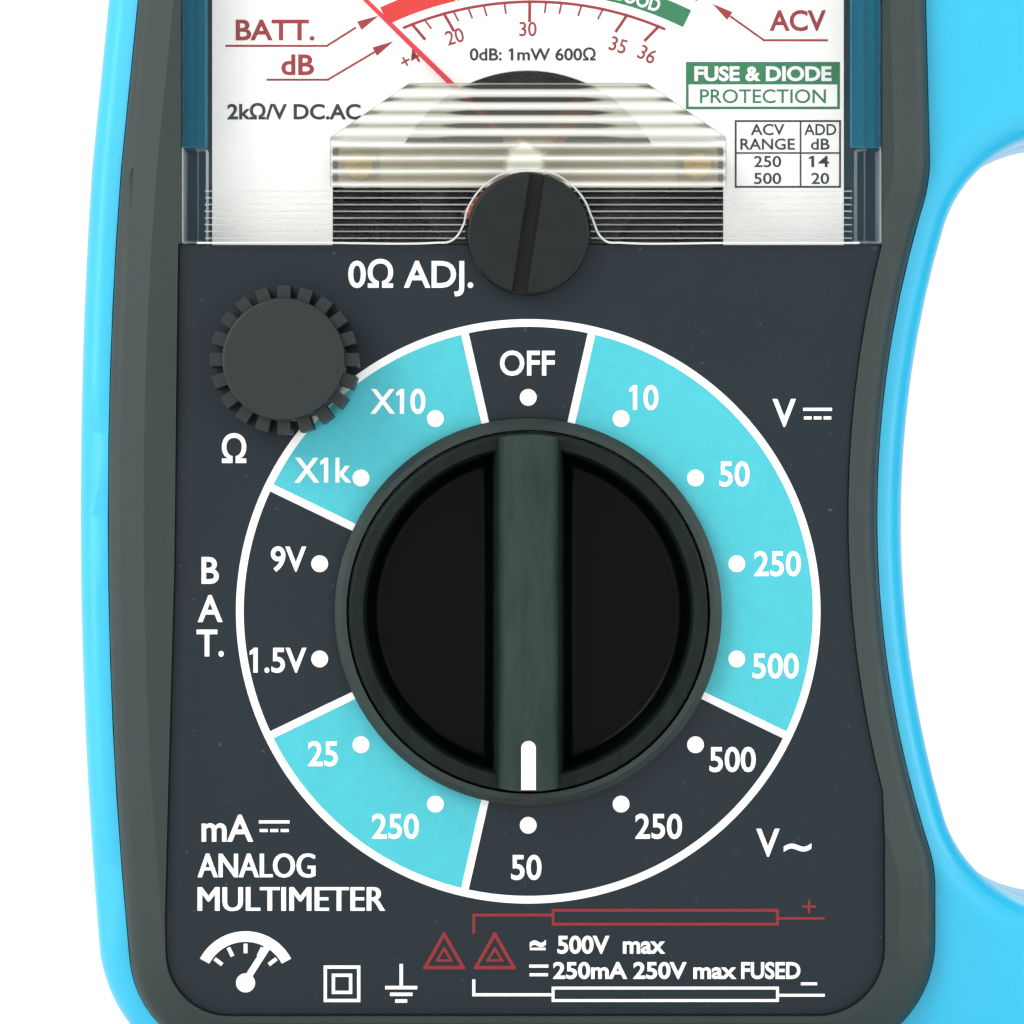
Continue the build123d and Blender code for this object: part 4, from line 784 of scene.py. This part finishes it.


# ------------------------------------------------------------------ painted highlight: a pale bead along the window's edge round the zero screw
def tube(name, points, radius, material):
    """A fine round bead along a smooth line of (x, f, z) points in millimetres."""
    curve = bpy.data.curves.new(name, "CURVE")
    curve.dimensions = "3D"
    curve.bevel_depth = radius * MM
    curve.bevel_resolution = 3
    curve.resolution_u = 10
    spline = curve.splines.new("BEZIER")
    spline.bezier_points.add(len(points) - 1)
    for knot, (x, f, z) in zip(spline.bezier_points, points):
        knot.co = (x * MM, -f * MM, z * MM)
        knot.handle_left_type = knot.handle_right_type = "AUTO"
    curve.materials.append(material)
    piece = bpy.data.objects.new(name, curve)
    bpy.context.scene.collection.objects.link(piece)
    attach(piece, "case")


# a fine near-white bead that is a painted highlight where the window's edge round the zero screw catches light
notch_highlight_clear = clear_sheet("clear_edge_highlight", linear(240, 246, 245), 0.62, 0.95, 0.06).material
ZERO_CENTRE, NOTCH_RADIUS, EDGE_DEPTH, BEAD_RADIUS = (0.0, 89.7), 6.85, 15.12, 0.11
run_in = [(34.6, 88.8), (22.0, 88.8), (9.6, 88.82), (8.0, 89.05)]
notch = [(-x, z) for x, z in run_in]
notch += [around(ZERO_CENTRE, NOTCH_RADIUS, angle) for angle in range(-82, 83, 12)]
notch += reversed(run_in)
tube("window_notch_highlight", [(x, EDGE_DEPTH, z) for x, z in notch], BEAD_RADIUS, notch_highlight_clear)

# ------------------------------------------------------------------ stage, light and camera
floor_mesh = bpy.data.meshes.new("floor")
floor_build = bmesh.new()
bmesh.ops.create_grid(floor_build, x_segments=1, y_segments=1, size=6.0)
floor_build.to_mesh(floor_mesh)
floor_build.free()
floor = bpy.data.objects.new("floor", floor_mesh)
bpy.context.scene.collection.objects.link(floor)
floor.location.z = -0.0002
floor_look = Nodes("floor_paper")
paper = floor_look.mix(floor_look.noise(3, 2), (0.95, 0.95, 0.95, 1), (0.98, 0.98, 0.98, 1))
floor_look.set(Base_Color=paper, Roughness=0.9, Specular_IOR_Level=0.1)
floor_mesh.materials.append(floor_look.material)

world = bpy.data.worlds.new("studio")
bpy.context.scene.world = world
world.use_nodes = True
background = world.node_tree.nodes["Background"]
background.inputs["Color"].default_value = (1, 1, 1, 1)
background.inputs["Strength"].default_value = 1.04

METER_CENTRE = (0, 0, 0.07)


def softbox(name, place, size, watts):
    """A soft rectangular light that looks at the meter."""
    light = bpy.data.lights.new(name, "AREA")
    light.shape = "RECTANGLE"
    light.size, light.size_y = size
    light.energy = watts
    holder = bpy.data.objects.new(name, light)
    bpy.context.scene.collection.objects.link(holder)
    holder.location = place
    holder.rotation_euler = (Vector(METER_CENTRE) - Vector(place)).to_track_quat("-Z", "Y").to_euler()


softbox("key_light", (-0.62, -0.75, 0.62), (0.45, 0.45), 5.0)
softbox("fill_light", (0.7, -0.6, 0.35), (0.5, 0.5), 1.0)
softbox("back_light", (0.3, 0.9, 0.8), (0.6, 0.6), 2.5)
softbox("left_strip", (-0.8, -0.16, 0.12), (0.2, 0.6), 1.4)
softbox("right_strip", (0.85, -0.16, 0.12), (0.2, 0.6), 1.4)

camera_data = bpy.data.cameras.new("camera")
camera_data.lens = 141
camera_data.sensor_width = 36
camera_data.clip_start = 0.01
camera = bpy.data.objects.new("camera", camera_data)
bpy.context.scene.collection.objects.link(camera)
camera.location = (-0.0017, -0.434, 0.0607)
camera.rotation_euler = (math.radians(90), 0, 0)
bpy.context.scene.camera = camera
bpy.context.scene.view_settings.view_transform = "Standard"
